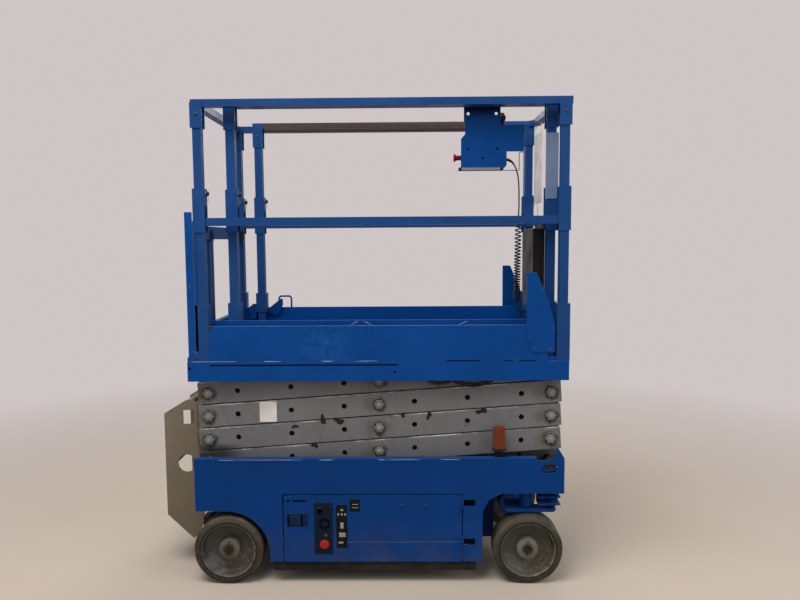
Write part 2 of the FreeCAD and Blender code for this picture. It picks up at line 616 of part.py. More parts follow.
def pothole_guard(side, name):
    """A guard strip under the chassis edge, on two rods that slide in guides."""
    strip = box((GUARD_REAR, "guard_front_x"),
                across(side, "guard_y + guard_rod_radius",
                       "chassis_side_y - side_wall"), ("guard_low", "guard_high"))
    foot = box((GUARD_REAR, "guard_front_x"),
               across(side, "guard_y - guard_rod_radius * 1.5", "guard_y + guard_rod_radius + 1"),
               ("guard_high - side_wall", "guard_high"))
    rods = [round_bar("z", x, f"{side} * guard_y", ("guard_high - side_wall", "guard_rod_top"),
                      "guard_rod_radius")
            for x in (GUARD_REAR + " + guard_rod_inset", "guard_front_x - guard_rod_inset")]
    node(name, fuse([strip, foot] + rods))


def wheel(side, x, place_name):
    """A solid tyre and the rim, disc, boss and cap that it is pressed on."""
    def ring(points):
        """Outline (distance in from the tyre's outer face, radius) set on this side."""
        return turned([(f"{side} * (tyre_outer_y - ({depth}))", radius) for depth, radius in points], x,
                      "tyre_radius")

    tyre = ring((("0", "rim_radius"), ("0", "tyre_radius - tyre_shoulder"), ("tyre_shoulder", "tyre_radius"),
                 ("tyre_width - tyre_shoulder", "tyre_radius"), ("tyre_width",
                                                                 "tyre_radius - tyre_shoulder"),
                 ("tyre_width", "rim_radius")))
    node(f"tyre_{place_name}", tyre)
    disc_back = "disc_recess + disc_wall"
    bore = "axle_radius + running_gap"
    rim = ring((("tyre_width", "rim_radius"), ("0", "rim_radius"), ("0", "rim_radius - rim_wall"),
                ("disc_recess", "rim_radius - 2 * rim_wall"), ("disc_recess", "cap_radius"),
                ("disc_recess - cap_proud", "cap_radius - rim_wall"), ("disc_recess - cap_proud", "0"),
                ("disc_recess + disc_wall / 2", "0"), ("disc_recess + disc_wall / 2", bore),
                (f"{disc_back} + hub_depth", bore), (f"{disc_back} + hub_depth", "hub_radius"),
                (disc_back, "hub_radius"), (disc_back, "rim_radius - 2 * rim_wall"),
                ("tyre_width", "rim_radius - rim_wall")))
    node(f"hub_{place_name}", rim)


def yoke(side, name):
    """A steering yoke: plate over the tyre, kingpin, leg, wheel motor, stub axle and steering arm."""
    top = "yoke_low + yoke_wall"
    x = "front_axle_x"
    plate = box((f"{x} - yoke_leg_half * 2", f"{x} + yoke_leg_half"), across(side, "yoke_leg_y", "king_y"),
                ("yoke_low", top))
    edge = prism(((f"{x} - yoke_rear + yoke_wall", "yoke_low"), (f"{x} + steer_arm", "yoke_low"),
                  (f"{x} + steer_arm + yoke_wall", top), (f"{x} - yoke_rear", top)),
                 across(side, "king_y - yoke_wall", "king_y + yoke_leg_half"))
    arm = box((x, f"{x} + steer_arm + yoke_wall"), across(side, "king_y - 2 * yoke_wall",
                                                          "king_y + yoke_wall"),
              ("yoke_low", top))
    king = round_bar("z", x, f"{side} * king_y", ("yoke_low", "sill_z"), "king_radius")
    leg = box((f"{x} - yoke_leg_half", f"{x} + yoke_leg_half"), across(side, "yoke_leg_y",
                                                                       "yoke_leg_y + yoke_wall"),
              ("tyre_radius - yoke_leg_half", top))
    motor = round_bar("y", x, across(side, "yoke_leg_y - motor_length", "yoke_leg_y + 1"), "tyre_radius",
                      "motor_radius")
    stub = round_bar("y", x, across(side, "yoke_leg_y", stub_end()), "tyre_radius", "axle_radius")
    pin = round_bar("z", f"{x} + steer_arm", f"{side} * king_y", ("yoke_low",
                                                                  "tie_rod_z + tie_eye_height / 2"),
                    "steer_pin_radius")
    node(name, fuse([plate, edge, arm, king, leg, motor, stub, pin]))


def tie_rod():
    """The rod between the two steering arms."""
    x = "front_axle_x + steer_arm"
    bar = round_bar("y", x, ("-king_y", "king_y"), "tie_rod_z", "tie_rod_radius")
    span = ("tie_rod_z - tie_eye_height / 2", "tie_rod_z + tie_eye_height / 2")
    eyes = both_sides(lambda side: round_bar("z", x, f"{side} * king_y", span, "tie_eye_radius"))
    bores = both_sides(lambda side: round_bar("z", x, f"{side} * king_y",
                                              ("tie_rod_z - tie_eye_height", "tie_rod_z + tie_eye_height"),
                                              "steer_pin_radius + running_gap"))
    node("tie_rod", cut(fuse([bar] + eyes), bores))


def arm_bar(side, inner, top_level):
    """One hollow arm, level, with its lower pin at the local origin and the bar towards +X."""
    last = "arm_length + " + ("top_over" if top_level else "arm_over")
    corner = "top_corner" if top_level else "arm_corner"
    half = "arm_depth / 2"
    y = across(side, inner, f"{inner} + arm_width")
    outline = ((f"-arm_over + arm_corner", f"-{half}"), (f"{last} - {corner}", f"-{half}"),
               (last, f"-{half} + {corner}"), (last, f"{half} - {corner}"), (f"{last} - {corner}", half),
               ("-arm_over + arm_corner", half), ("-arm_over", f"{half} - arm_corner"),
               ("-arm_over", f"-{half} + arm_corner"))
    hollow = box(("-arm_over - 1", f"{last} + 1"), across(side, f"{inner} + arm_wall",
                                                          f"{inner} + arm_width - arm_wall"),
                 (f"-{half} + arm_wall", f"{half} - arm_wall"))
    holes = [round_bar("y", f"arm_length * {0.5 + share:.3f}", across(side, f"{inner} - 1",
                                                                      f"{inner} + arm_width + 1"),
                       "near_none", "arm_hole_radius")
             for share in (-0.415, -0.258, -0.103, 0.103, 0.258, 0.415)]
    shell = cut(prism(outline, y), [hollow] + holes)
    bosses = [round_bar("y", x, y, "near_none", "arm_boss_radius") for x in ("near_none", "arm_length / 2",
                                                                             "arm_length")]
    return fuse([shell] + bosses)


def rest_on_pins(item, x, z, turn):
    """Sets a level arm at its lower pin, sloped as it lies when the stack is down."""
    item.Placement = FreeCAD.Placement(FreeCAD.Vector(), FreeCAD.Rotation(FreeCAD.Vector(0, 1, 0), turn * 4))
    bind(item, "Placement.Rotation.Angle", f"{turn} * asin(level_rise / arm_length)")
    return place(item, x, "near_none", z)


def outer_arms(level):
    """The near and far outer arms of a level, with the pins that they carry into the inner arms."""
    outer_face = "outer_arm_y + arm_width"
    top_level = level == 4

    def one(side):
        pieces = [arm_bar(side, "outer_arm_y", top_level)]
        for x in ("near_none", "arm_length / 2") + (() if top_level else ("arm_length",)):
            pieces.append(round_bar("y", x, across(side, "pin_depth", outer_face), "near_none",
                                    "pin_radius"))
            pieces.append(round_bar("y", x, across(side, outer_face, f"{outer_face} + washer_proud"),
                                    "near_none",
                                    "washer_radius"))
            pieces.append(round_bar("y", x, across(side, outer_face, f"{outer_face} + pin_head_proud"),
                                    "near_none",
                                    "pin_head_radius"))
        return fuse(pieces)

    pair = group(both_sides(one))
    rest_on_pins(pair, "fixed_pin_x", f"base_pin_z + {level - 1} * level_rise", -1)
    node(f"outer_arms_{level}", pair)


def inner_arms(level):
    """The two inner arms of a level, joined by tubes across, with bores for the outer arms' pins."""
    top_level = level == 4
    arms = both_sides(lambda side: arm_bar(side, "inner_arm_y", top_level))
    tube = ("-inner_arm_y - 1", "inner_arm_y + 1")
    tubes = [round_bar("y", x, tube, "near_none", "cross_tube_radius") for x in ("near_none", "arm_length")]
    bored = ["near_none"] if level > 1 else []
    bored += ["arm_length / 2", "arm_length"]
    bores = []
    for x in bored:
        bores += both_sides(lambda side: round_bar("y", x, across(side, "pin_depth - 1",
                                                                  "inner_arm_y + arm_width + 1"),
                                                   "near_none", "pin_radius + running_gap"))
    lugs = []
    gap = "eye_half + cylinder_lug_gap"
    if level == 1:
        centre = "arm_length / 2 + barrel_along"
        tubes.append(round_bar("y", centre, tube, "near_none", "cross_tube_radius - 6"))
        lugs = both_sides(lambda side: prism(((f"{centre} - cross_tube_radius", "near_none"),
                                              (f"{centre} + cross_tube_radius", "near_none"),
                                              (f"{centre} + cross_tube_radius", "barrel_above"),
                                              (f"{centre} + cross_tube_radius / 2",
                                               "barrel_above + cross_tube_radius"),
                                              (f"{centre} - cross_tube_radius / 2",
                                               "barrel_above + cross_tube_radius"),
                                              (f"{centre} - cross_tube_radius", "barrel_above")),
                                             across(side, gap, f"{gap} + cylinder_lug_wall")))
        lugs.append(round_bar("y", centre, (f"-({gap}) - cylinder_lug_wall", f"{gap} + cylinder_lug_wall"),
                              "barrel_above",
                              "pin_radius"))
    if level == 3:
        centre = "arm_length / 2 - rod_tube_along"
        eye = "arm_length / 2 - rod_along"
        tubes.append(round_bar("y", centre, tube, "near_none", "cross_tube_radius - 6"))
        lugs = both_sides(lambda side: prism(((f"{eye} - cross_tube_radius",
                                               "-rod_below - cross_tube_radius / 2"),
                                              (f"{eye} + cross_tube_radius",
                                               "-rod_below - cross_tube_radius / 2"),
                                              (f"{centre} + cross_tube_radius", "near_none"),
                                              (f"{centre} - cross_tube_radius", "near_none"),
                                              (f"{eye} - cross_tube_radius",
                                               "-rod_below + cross_tube_radius")),
                                             across(side, gap, f"{gap} + cylinder_lug_wall")))
    # Local X runs from the lower pin towards the rear, so the pair is turned half round
    pair = cut(fuse(arms + tubes + lugs), bores)
    turned_pair = doc.addObject("Part::Mirroring", "Turned")
    turned_pair.Source = pair
    turned_pair.Normal = FreeCAD.Vector(1, 0, 0)
    sloped = group([turned_pair])
    rest_on_pins(sloped, "fixed_pin_x + arm_length * cos(asin(level_rise / arm_length))",
                 f"base_pin_z + {level - 1} * level_rise", 1)
    node(f"inner_arms_{level}", sloped)


def rollers():
    """Rollers on the scissor's sliding ends: the lowest inner arms and the topmost outer arms."""
    x = "fixed_pin_x + arm_length * cos(asin(level_rise / arm_length))"

    def low(side):
        face = "inner_arm_y + arm_width"
        return fuse([round_bar("y", x, across(side, face, "track_y + 1"), "base_pin_z", "pin_radius"),
                     round_bar("y", x, across(side, "track_y + 1", "chassis_side_y - side_wall - 1"),
                               "base_pin_z",
                               "low_roller_radius")])

    def high(side):
        z = "base_pin_z + 4 * level_rise"
        face = "outer_arm_y + arm_width"
        return fuse([round_bar("y", x, across(side, face, "track_y + 1"), z, "pin_radius"),
                     round_bar("y", x, across(side, "track_y + 1", "platform_side_y - channel_wall - 1"), z,
                               "high_roller_radius")])

    node("lower_rollers", group(both_sides(low)))
    node("upper_rollers", group(both_sides(high)))


def arm_point(level, along, above):
    """A point on an inner arm at rest: along from its middle towards the rear, and above its centre line."""
    slope = "asin(level_rise / arm_length)"
    x = (f"(fixed_pin_x + arm_length / 2 * cos({slope}) - ({along}) * cos({slope}) + ({above}) * sin({slope}))")
    z = (f"(base_pin_z + {level - 0.5} * level_rise + ({along}) * sin({slope}) + ({above}) * cos({slope}))")
    return x, z


def lift_cylinder():
    """Barrel and rod of the lift cylinder, from the lowest to the third inner arms."""
    bx, bz = arm_point(1, "barrel_along", "barrel_above")
    rx, rz = arm_point(3, "-rod_along", "-rod_below")
    stroke = f"({rx} - {bx})"
    y = ("-eye_half", "eye_half")
    tilt = f"-atan(({rz} - {bz}) / {stroke})"

    def level(item):
        item.Placement = FreeCAD.Placement(FreeCAD.Vector(), FreeCAD.Rotation(FreeCAD.Vector(0, 1, 0), 1))
        bind(item, "Placement.Rotation.Angle", tilt)
        return place(item, bx, "near_none", bz)

    eye = round_bar("y", "near_none", y, "near_none", "eye_radius")
    neck = round_bar("x", ("near_none", "eye_radius + side_wall + 1"), "near_none", "near_none",
                     "eye_radius - side_wall")
    barrel = round_bar("x", ("eye_radius + side_wall", "barrel_length"), "near_none", "near_none",
                       "barrel_radius")
    bore = round_bar("y", "near_none", ("-eye_half - 1", "eye_half + 1"), "near_none",
                     "pin_radius + running_gap")
    hollow = round_bar("x", ("eye_radius + 2 * side_wall", "barrel_length + 1"), "near_none", "near_none",
                       "rod_radius + running_gap")
    node("lift_barrel", level(cut(fuse([eye, neck, barrel]), [bore, hollow])))
    reach = f"sqrt({stroke} * {stroke} + ({rz} - {bz}) * ({rz} - {bz}))"
    rod = round_bar("x", ("eye_radius + 3 * side_wall", reach), "near_none", "near_none", "rod_radius")
    rod_eye = round_bar("y", reach, y, "near_none", "eye_radius - 2")
    node("lift_rod", level(fuse([rod, rod_eye])))


def ladder():
    """The rear step ladder: two bent side plates and the rungs between them."""
    wall = "chassis_rear_x"
    outline = ((wall, "rear_lip_z + 60"), ("ladder_inner_x", "chassis_top + 15"),
               ("ladder_inner_x", "ladder_top - 14"),
               ("ladder_inner_x - 14", "ladder_top"), ("ladder_step_x", "ladder_top"),
               ("ladder_rear_x", "ladder_shoulder_z"), ("ladder_rear_x", "ladder_knee_z"),
               ("ladder_step_x + 14", "ladder_foot_z"), ("ladder_step_x + 34", "ladder_foot_z + 10"),
               (f"{wall} - 16", "ladder_knee_z - 35"), (f"{wall} - 14",
                                                        "ladder_knee_z + 10"), (wall, "rear_lip_z"))

    def side_plate(side):
        y = across(side, "ladder_y - ladder_wall", "ladder_y")
        wide = across(side, "ladder_y - 2 * ladder_wall", "ladder_y + ladder_wall")
        hole = round_bar("y", "ladder_step_x - 5", wide, "chassis_top - 77", "ladder_hole_radius")
        window = box(("ladder_step_x - 16", "ladder_step_x + 34"), wide,
                     ("ladder_shoulder_z - 49", "ladder_shoulder_z + 16"))
        return cut(prism(outline, y), [hole, window])

    rungs = [round_bar("y", x, ("-ladder_y + ladder_wall - 1", "ladder_y - ladder_wall + 1"), z,
                       "ladder_rung_radius")
             for x, z in (("ladder_rear_x + 16", "ladder_knee_z + 17"), ("ladder_rear_x + 16",
                                                                         "ladder_knee_z + 230"),
                          ("ladder_rear_x + 16", "ladder_shoulder_z - 20"), ("ladder_step_x + 12",
                                                                             "ladder_top - 15"))]
    back = box((f"{wall} - ladder_wall", wall), ("-ladder_y", "ladder_y"), ("rear_lip_z", "rear_lip_z + 60"))
    node("ladder", fuse(both_sides(side_plate) + rungs + [back]))


def beacons():
    """Amber lamps on small brackets along the chassis edge, near and far."""
    def lamp(side):
        y = across(side, "beacon_inner_y", "beacon_outer_y")
        bracket = box(("beacon_x - 18", "beacon_x + 18"), across(side, "beacon_inner_y",
                                                                 "beacon_inner_y + 8"),
                      ("chassis_top", "beacon_low + 1"))
        base = box(("beacon_x - beacon_half - 3", "beacon_x + beacon_half + 3"), y,
                   ("beacon_low", "beacon_low + 14"))
        lens = prism((("beacon_x - beacon_half", "beacon_low + 14"), ("beacon_x + beacon_half",
                                                                      "beacon_low + 14"),
                      ("beacon_x + beacon_half - 3", "beacon_top - 8"), ("beacon_x + beacon_half - 11",
                                                                         "beacon_top"),
                      ("beacon_x - beacon_half + 11", "beacon_top"), ("beacon_x - beacon_half + 3",
                                                                      "beacon_top - 8")), y)
        return fuse([bracket, base, lens])
    node("beacons", group(both_sides(lamp)))


def ground_controls():
    """The control panel on the near tray door: plate, ring knob, key switch, levers and stop button."""
    face = "chassis_side_y"
    y = across(NEAR, face, f"{face} + panel_proud")
    plate = box(("panel_rear_x", "panel_front_x"), y, ("panel_low", "panel_high"))
    x = "panel_rear_x + 27"
    knob = round_bar("y", x, across(NEAR, face, f"{face} + panel_proud + 5"), "panel_high - 36", "14")
    socket = round_bar("y", f"{x} + 20", across(NEAR, face, f"{face} + panel_proud + 4"), "panel_high - 95",
                       "22")
    stop = round_bar("y", f"{x} + 20", across(NEAR, face, f"{face} + panel_proud + 5"), "panel_low + 45",
                     "20")
    node("ground_panel", fuse([plate, knob, socket]))
    node("ground_stop", cut(stop, [box(("panel_rear_x", "panel_front_x"), y, ("panel_low", "panel_high"))]))


def platform_frame():
    """Side channels, end plates, floor and the lugs of the scissor's upper fixed pins."""
    side_y = "platform_side_y"
    x = ("platform_rear_x", "platform_front_x")

    def channel(side):
        web = box(x, across(side, f"{side_y} - channel_wall", side_y), ("platform_low", "platform_high"))
        low = box(x, across(side, "track_y", side_y), ("platform_low", "platform_low + channel_wall"))
        high = box(x, across(side, "track_y", side_y), ("platform_high - channel_wall", "platform_high"))
        skirt = box(x, across(side, f"{side_y} - 2 * channel_wall", f"{side_y} - channel_wall"),
                    ("platform_high", "floor_low"))
        return [web, low, high, skirt]

    def lug(side):
        z = "base_pin_z + 4 * level_rise"
        plate = prism((("fixed_pin_x - lug_half", "floor_low"), ("fixed_pin_x - lug_half", z),
                       ("fixed_pin_x - lug_half / 2", f"{z} - lug_half"), ("fixed_pin_x + lug_half / 2",
                                                                           f"{z} - lug_half"),
                       ("fixed_pin_x + lug_half", z), ("fixed_pin_x + lug_half", "floor_low")),
                      across(side, "outer_arm_y", "outer_arm_y + arm_width / 2"))
        pin = round_bar("y", "fixed_pin_x", across(side, "pin_depth", "outer_arm_y + 1"), z, "pin_radius")
        return [plate, pin]

    end_y = (f"-({side_y} - channel_wall)", f"{side_y} - channel_wall")
    ends = [box(end_x, end_y, ("platform_low", "floor_low"))
            for end_x in (("platform_rear_x", "platform_rear_x + channel_wall"),
                          ("platform_front_x - channel_wall", "platform_front_x"))]
    floor = box(x, (f"-{side_y} + channel_wall", f"{side_y} - channel_wall"),
                ("floor_low", "floor_low + floor_wall"))
    pads = both_sides(lambda side: box(("platform_front_x - channel_wall - pad_length",
                                        "platform_front_x - channel_wall"),
                                       across(side, "deck_side_y - 40", "deck_side_y - 8"),
                                       ("floor_low + floor_wall",
                                        "floor_low + floor_wall + deck_gap - pad_gap")))
    node("platform_frame", fuse(channel(NEAR) + channel(FAR) + lug(NEAR) + lug(FAR) + ends + [floor] + pads))


def toe_boards():
    """Low walls along the platform's sides and beside the gate."""
    outer = "platform_side_y - channel_wall"
    base = "platform_high"
    walls = both_sides(lambda side: box(("toe_rear_x", "toe_front_x"),
                                        across(side, outer, "platform_side_y"),
                                        (base, "toe_top")))
    corners = both_sides(lambda side: box(("rail_rear_x - post_sleeve_half - gate_plate_width",
                                           "rail_rear_x - post_sleeve_half - 2"),
                                          across(side, outer, "platform_side_y"), (base, "gate_plate_top")))
    rear = both_sides(lambda side: box(("rail_rear_x - post_half", "rail_rear_x - post_half + channel_wall"),
                                       across(side, "gate_half + gate_gap + gate_frame_width",
                                              "rail_y - post_half - post_sleeve_proud"),
                                       ("floor_low + floor_wall", "toe_top")))
    node("toe_boards", group(walls + corners + rear))


def square_post(x, side, rail_y, half, z):
    """A square tube, upright."""
    return box((f"{x} - {half}", f"{x} + {half}"), across(side, f"{rail_y} - {half}", f"{rail_y} + {half}"),
               z)


def bracket_web(x, side, rail_y):
    """The closed front of a lower fold bracket, where the lock pin goes in."""
    return box((f"{x} + bracket_half - bracket_wall", f"{x} + bracket_half"),
               across(side, f"{rail_y} - post_half - 1",
                      f"{rail_y} + post_half + 1"), ("web_low", "low_bracket_high"))


def fold_bracket(x, side, rail_y, z):
    """The two cheeks of a fold bracket, on both sides of a post."""
    reach = "(post_half + bracket_wall)"
    span = (f"{x} - bracket_half", f"{x} + bracket_half")
    return [box(span, across(side, f"{rail_y} - {reach}", f"{rail_y} - post_half"), z),
            box(span, across(side, f"{rail_y} + post_half", f"{rail_y} + {reach}"), z)]


def pivot(x, side, rail_y, z, grow="near_none"):
    """A fold pivot bolt, or with some growth the bore that it turns in."""
    reach = "(post_half + bracket_wall)"
    return round_bar("y", x, across(side, f"{rail_y} - {reach}", f"{rail_y} + {reach}"), z,
                     f"pivot_radius + {grow}")


MAIN_POSTS = (("rail_rear_x", NEAR), ("rail_rear_x", FAR), ("rail_front_x", NEAR), ("rail_front_far_x", FAR))


def main_lower_rails():
    """Fixed lower posts of the main rails, their sleeves, middle rails, fold brackets and gate posts."""
    pieces = []
    for x, side in MAIN_POSTS:
        floor_top = "floor_low + floor_wall"
        sleeve_x = (f"{x} - post_sleeve_half", f"{x} + post_sleeve_half")
        outer = "rail_y + post_half + post_sleeve_proud"
        pieces.append(square_post(x, side, "rail_y", "post_half", (floor_top, "lower_post_top")))
        pieces.append(box(sleeve_x, across(side, "rail_y - post_half - post_sleeve_proud", outer),
                          (floor_top, "post_sleeve_top")))
        pieces.append(box(sleeve_x, across(side, "platform_side_y - channel_wall", outer),
                          ("platform_high", f"{floor_top} + 1")))
        pieces += fold_bracket(x, side, "rail_y", ("low_bracket_low", "low_bracket_high"))
        pieces.append(bracket_web(x, side, "rail_y"))
        pieces.append(pivot(x, side, "rail_y", "low_pivot_z"))
    mid = ("mid_rail_low", "mid_rail_low + 2 * mid_rail_half")
    for side, front in ((NEAR, "rail_front_x"), (FAR, "rail_front_far_x")):
        pieces.append(box(("rail_rear_x", front), across(side, "rail_y - mid_rail_half",
                                                         "rail_y + mid_rail_half"), mid))
        y = across(side, "gate_half + gate_gap", "gate_half + gate_gap + gate_frame_width")
        pieces.append(box(("rail_rear_x - gate_post_half", "rail_rear_x + gate_post_half"), y,
                          ("floor_low + floor_wall", "gate_top")))
        stub = across(side, "gate_half + gate_gap + gate_frame_width - 1", "rail_y")
        pieces.append(box(("rail_rear_x - gate_post_half", "rail_rear_x + gate_post_half"), stub,
                          ("gate_bar_low", "gate_top")))
    # The gate's hinge pins stand on short arms off the near gate post, clear of the gate's swing
    x = "rail_rear_x + gate_post_half + gate_pin_radius - 1"
    half = "gate_pin_radius / 2"
    for z in ("gate_bar_low", "gate_lower_low"):
        arm_z = (f"{z} - gate_pin_radius - 2", f"{z} - 2")
        root = across(NEAR, "gate_half + gate_gap + 1", "gate_half + gate_gap + gate_frame_width")
        pieces.append(box(("rail_rear_x", f"{x} + {half}"), root, arm_z))
        pieces.append(box((f"{x} - {half}", f"{x} + {half}"),
                          across(NEAR, f"gate_half - {half}", "gate_half + gate_gap + 2"), arm_z))
        pieces.append(round_bar("z", x, "-gate_half", (f"{z} - 3", f"{z} + 20"), half))
    node("main_lower_rails", fuse(pieces))


def entry_gate():
    """The entry gate: top bar, lower bar and two uprights, hinged at its near edge."""
    x = ("rail_rear_x - gate_post_half", "rail_rear_x + gate_post_half")
    y = ("-gate_half", "gate_half")
    bars = [box(x, y, ("gate_bar_low", "gate_top")), box(x, y, ("gate_lower_low", "gate_low"))]
    stiles = both_sides(lambda side: box(x, across(side, "gate_half - gate_stile", "gate_half"),
                                         ("gate_lower_low", "gate_top")))
    barrels, bores = [], []
    pin_x = "rail_rear_x + gate_post_half + gate_pin_radius - 1"
    pin_y = "-gate_half"
    for z in ("gate_bar_low", "gate_lower_low"):
        barrels.append(round_bar("z", pin_x, pin_y, (z, f"{z} + 40"), "gate_pin_radius"))
        bores.append(round_bar("z", pin_x, pin_y, (f"{z} - 1", f"{z} + 21"),
                               "gate_pin_radius / 2 + running_gap"))
    node("entry_gate", cut(fuse(bars + stiles + barrels), bores))


def gussets():
    """Stiffening plates at the front ends of the toe boards."""
    outline = (("gusset_rear_x", "gusset_top"), ("gusset_rear_x + gusset_flat", "gusset_top"),
               ("gusset_knee_x", "gusset_knee_z"), ("gusset_front_x", "gusset_low + gusset_flat * 3"),
               ("gusset_front_x", "gusset_low"), ("gusset_rear_x + 22", "gusset_low"),
               ("gusset_rear_x", "gusset_low + gusset_flat * 2"))
    node("gussets", group(both_sides(lambda side: prism(outline, across(side, "platform_side_y",
                                                                        "platform_side_y + gusset_wall")))))


def lock_pins():
    """Heads of the pins that lock the folding posts, on the brackets' closed fronts."""
    pins = [round_bar("x", (f"{x} + bracket_half", f"{x} + bracket_half + lock_pin_proud"),
                      f"{side} * rail_y",
                      "lock_pin_z", "lock_pin_radius") for x, side in MAIN_POSTS if x != "rail_front_x"]
    node("main_lock_pins", group(pins))


def folding_post(x, side):
    """A main rail's upper post, bored for its two fold pivots."""
    post = square_post(x, side, "rail_y", "upper_post_half", ("low_pivot_z - pivot_end",
                                                              "high_pivot_z + pivot_end"))
    return cut(post, [pivot(x, side, "rail_y", z, "running_gap") for z in ("low_pivot_z", "high_pivot_z")])


def main_folding_rails():
    """The folding part of the main rails: rear posts, front posts and the top rail with its rear bar."""
    node("main_rear_posts", group(both_sides(lambda side: folding_post("rail_rear_x", side))))
    node("main_front_post_near", folding_post("rail_front_x", NEAR))
    node("main_front_post_far", folding_post("rail_front_far_x", FAR))
    top = "top_rail_high"
    pieces = []
    for side, front in ((NEAR, "rail_end_x"), (FAR, "rail_front_far_x + bracket_half")):
        pieces.append(box(("rail_rear_x - rail_overhang", front), across(side, "rail_y - top_rail_half",
                                                                         "rail_y + top_rail_half"),
                          ("top_rail_low", top)))
    pieces.append(box(("rail_rear_x - rail_overhang", "rail_rear_x - rail_overhang + 2 * top_rail_half"),
                      ("-rail_y", "rail_y"), ("top_rail_low", top)))
    for x, side in MAIN_POSTS:
        pieces += fold_bracket(x, side, "rail_y", ("high_bracket_low", "top_rail_low + top_rail_half"))
        pieces.append(pivot(x, side, "rail_y", "high_pivot_z"))
    node("main_top_rail", fuse(pieces))


def rollout_deck():
    """The roll-out deck's floor and toe boards."""
    low = "floor_low + floor_wall + deck_gap"
    x = ("deck_rear_x", "deck_front_x")
    floor = box(x, ("-deck_side_y", "deck_side_y"), (low, f"{low} + floor_wall"))
    sides = both_sides(lambda side: box(x, across(side, "deck_side_y - deck_toe_wall", "deck_side_y"),
                                        (low, "deck_toe_top")))
    front = box(("deck_front_x - deck_toe_wall", "deck_front_x"), ("-deck_side_y", "deck_side_y"),
                (low, "deck_toe_top"))
    pads = both_sides(lambda side: box(("deck_rear_x", "deck_rear_x + pad_length"),
                                       across(side, "deck_side_y - 40", "deck_side_y - 8"),
                                       ("floor_low + floor_wall + pad_gap", low)))
    node("rollout_deck", fuse([floor, front] + sides + pads))


def rollout_rails():
    """Posts, middle rails and the bent top rail of the roll-out deck."""
    base = "floor_low + 2 * floor_wall + deck_gap"
    top = "inner_top_high"
    pieces = []
    for x in ("inner_rear_x", "inner_front_x"):
        for side in (NEAR, FAR):
            pieces.append(square_post(x, side, "inner_rail_y", "post_half", (base, "inner_top_low + 1")))
            pieces += fold_bracket(x, side, "inner_rail_y", ("low_bracket_low", "low_bracket_high"))
            pieces.append(bracket_web(x, side, "inner_rail_y"))
            pieces += fold_bracket(x, side, "inner_rail_y", ("high_bracket_low", "inner_top_low + 12"))
            pieces.append(box((f"{x} - post_sleeve_half", f"{x} + post_sleeve_half"),
                              across(side, "inner_rail_y - post_half - post_sleeve_proud",
                                     "deck_side_y - deck_toe_wall"),
                              ("inner_sleeve_low", "inner_sleeve_top")))
    mid = ("mid_rail_low", "mid_rail_low + 2 * mid_rail_half")
    for side in (NEAR, FAR):
        y = across(side, "inner_rail_y - mid_rail_half", "inner_rail_y + mid_rail_half")
        pieces.append(box(("inner_rear_x", "inner_front_x"), y, mid))
        pieces.append(box(("inner_rear_x - bracket_half", "front_bar_x - bend_radius"),
                          across(side, "inner_rail_y - top_rail_half",
                                 "inner_rail_y + top_rail_half"), ("inner_top_low", top)))
        centre_y = f"{side} * (inner_rail_y - bend_radius)"
        outer = round_bar("z", "front_bar_x - bend_radius", centre_y, ("inner_top_low", top),
                          "bend_radius + top_rail_half")
        inner = round_bar("z", "front_bar_x - bend_radius", centre_y, ("inner_top_low - 1", f"{top} + 1"),
                          "bend_radius - top_rail_half")
        corner = box(("front_bar_x - bend_radius", "front_bar_x + top_rail_half + 1"),
                     across(side, "inner_rail_y - bend_radius", "inner_rail_y + top_rail_half + 1"),
                     ("inner_top_low - 1", f"{top} + 1"))
        bend = doc.addObject("Part::Common", "Bend")
        bend.Base = cut(outer, [inner])
        bend.Tool = corner
        pieces.append(bend)
    pieces.append(box(("front_bar_x - top_rail_half", "front_bar_x + top_rail_half"),
                      ("-inner_rail_y + bend_radius", "inner_rail_y - bend_radius"), ("inner_top_low", top)))
    pieces.append(box(("inner_front_x - mid_rail_half", "inner_front_x + mid_rail_half"),
                      ("-inner_rail_y", "inner_rail_y"), mid))
    node("rollout_rails", fuse(pieces))


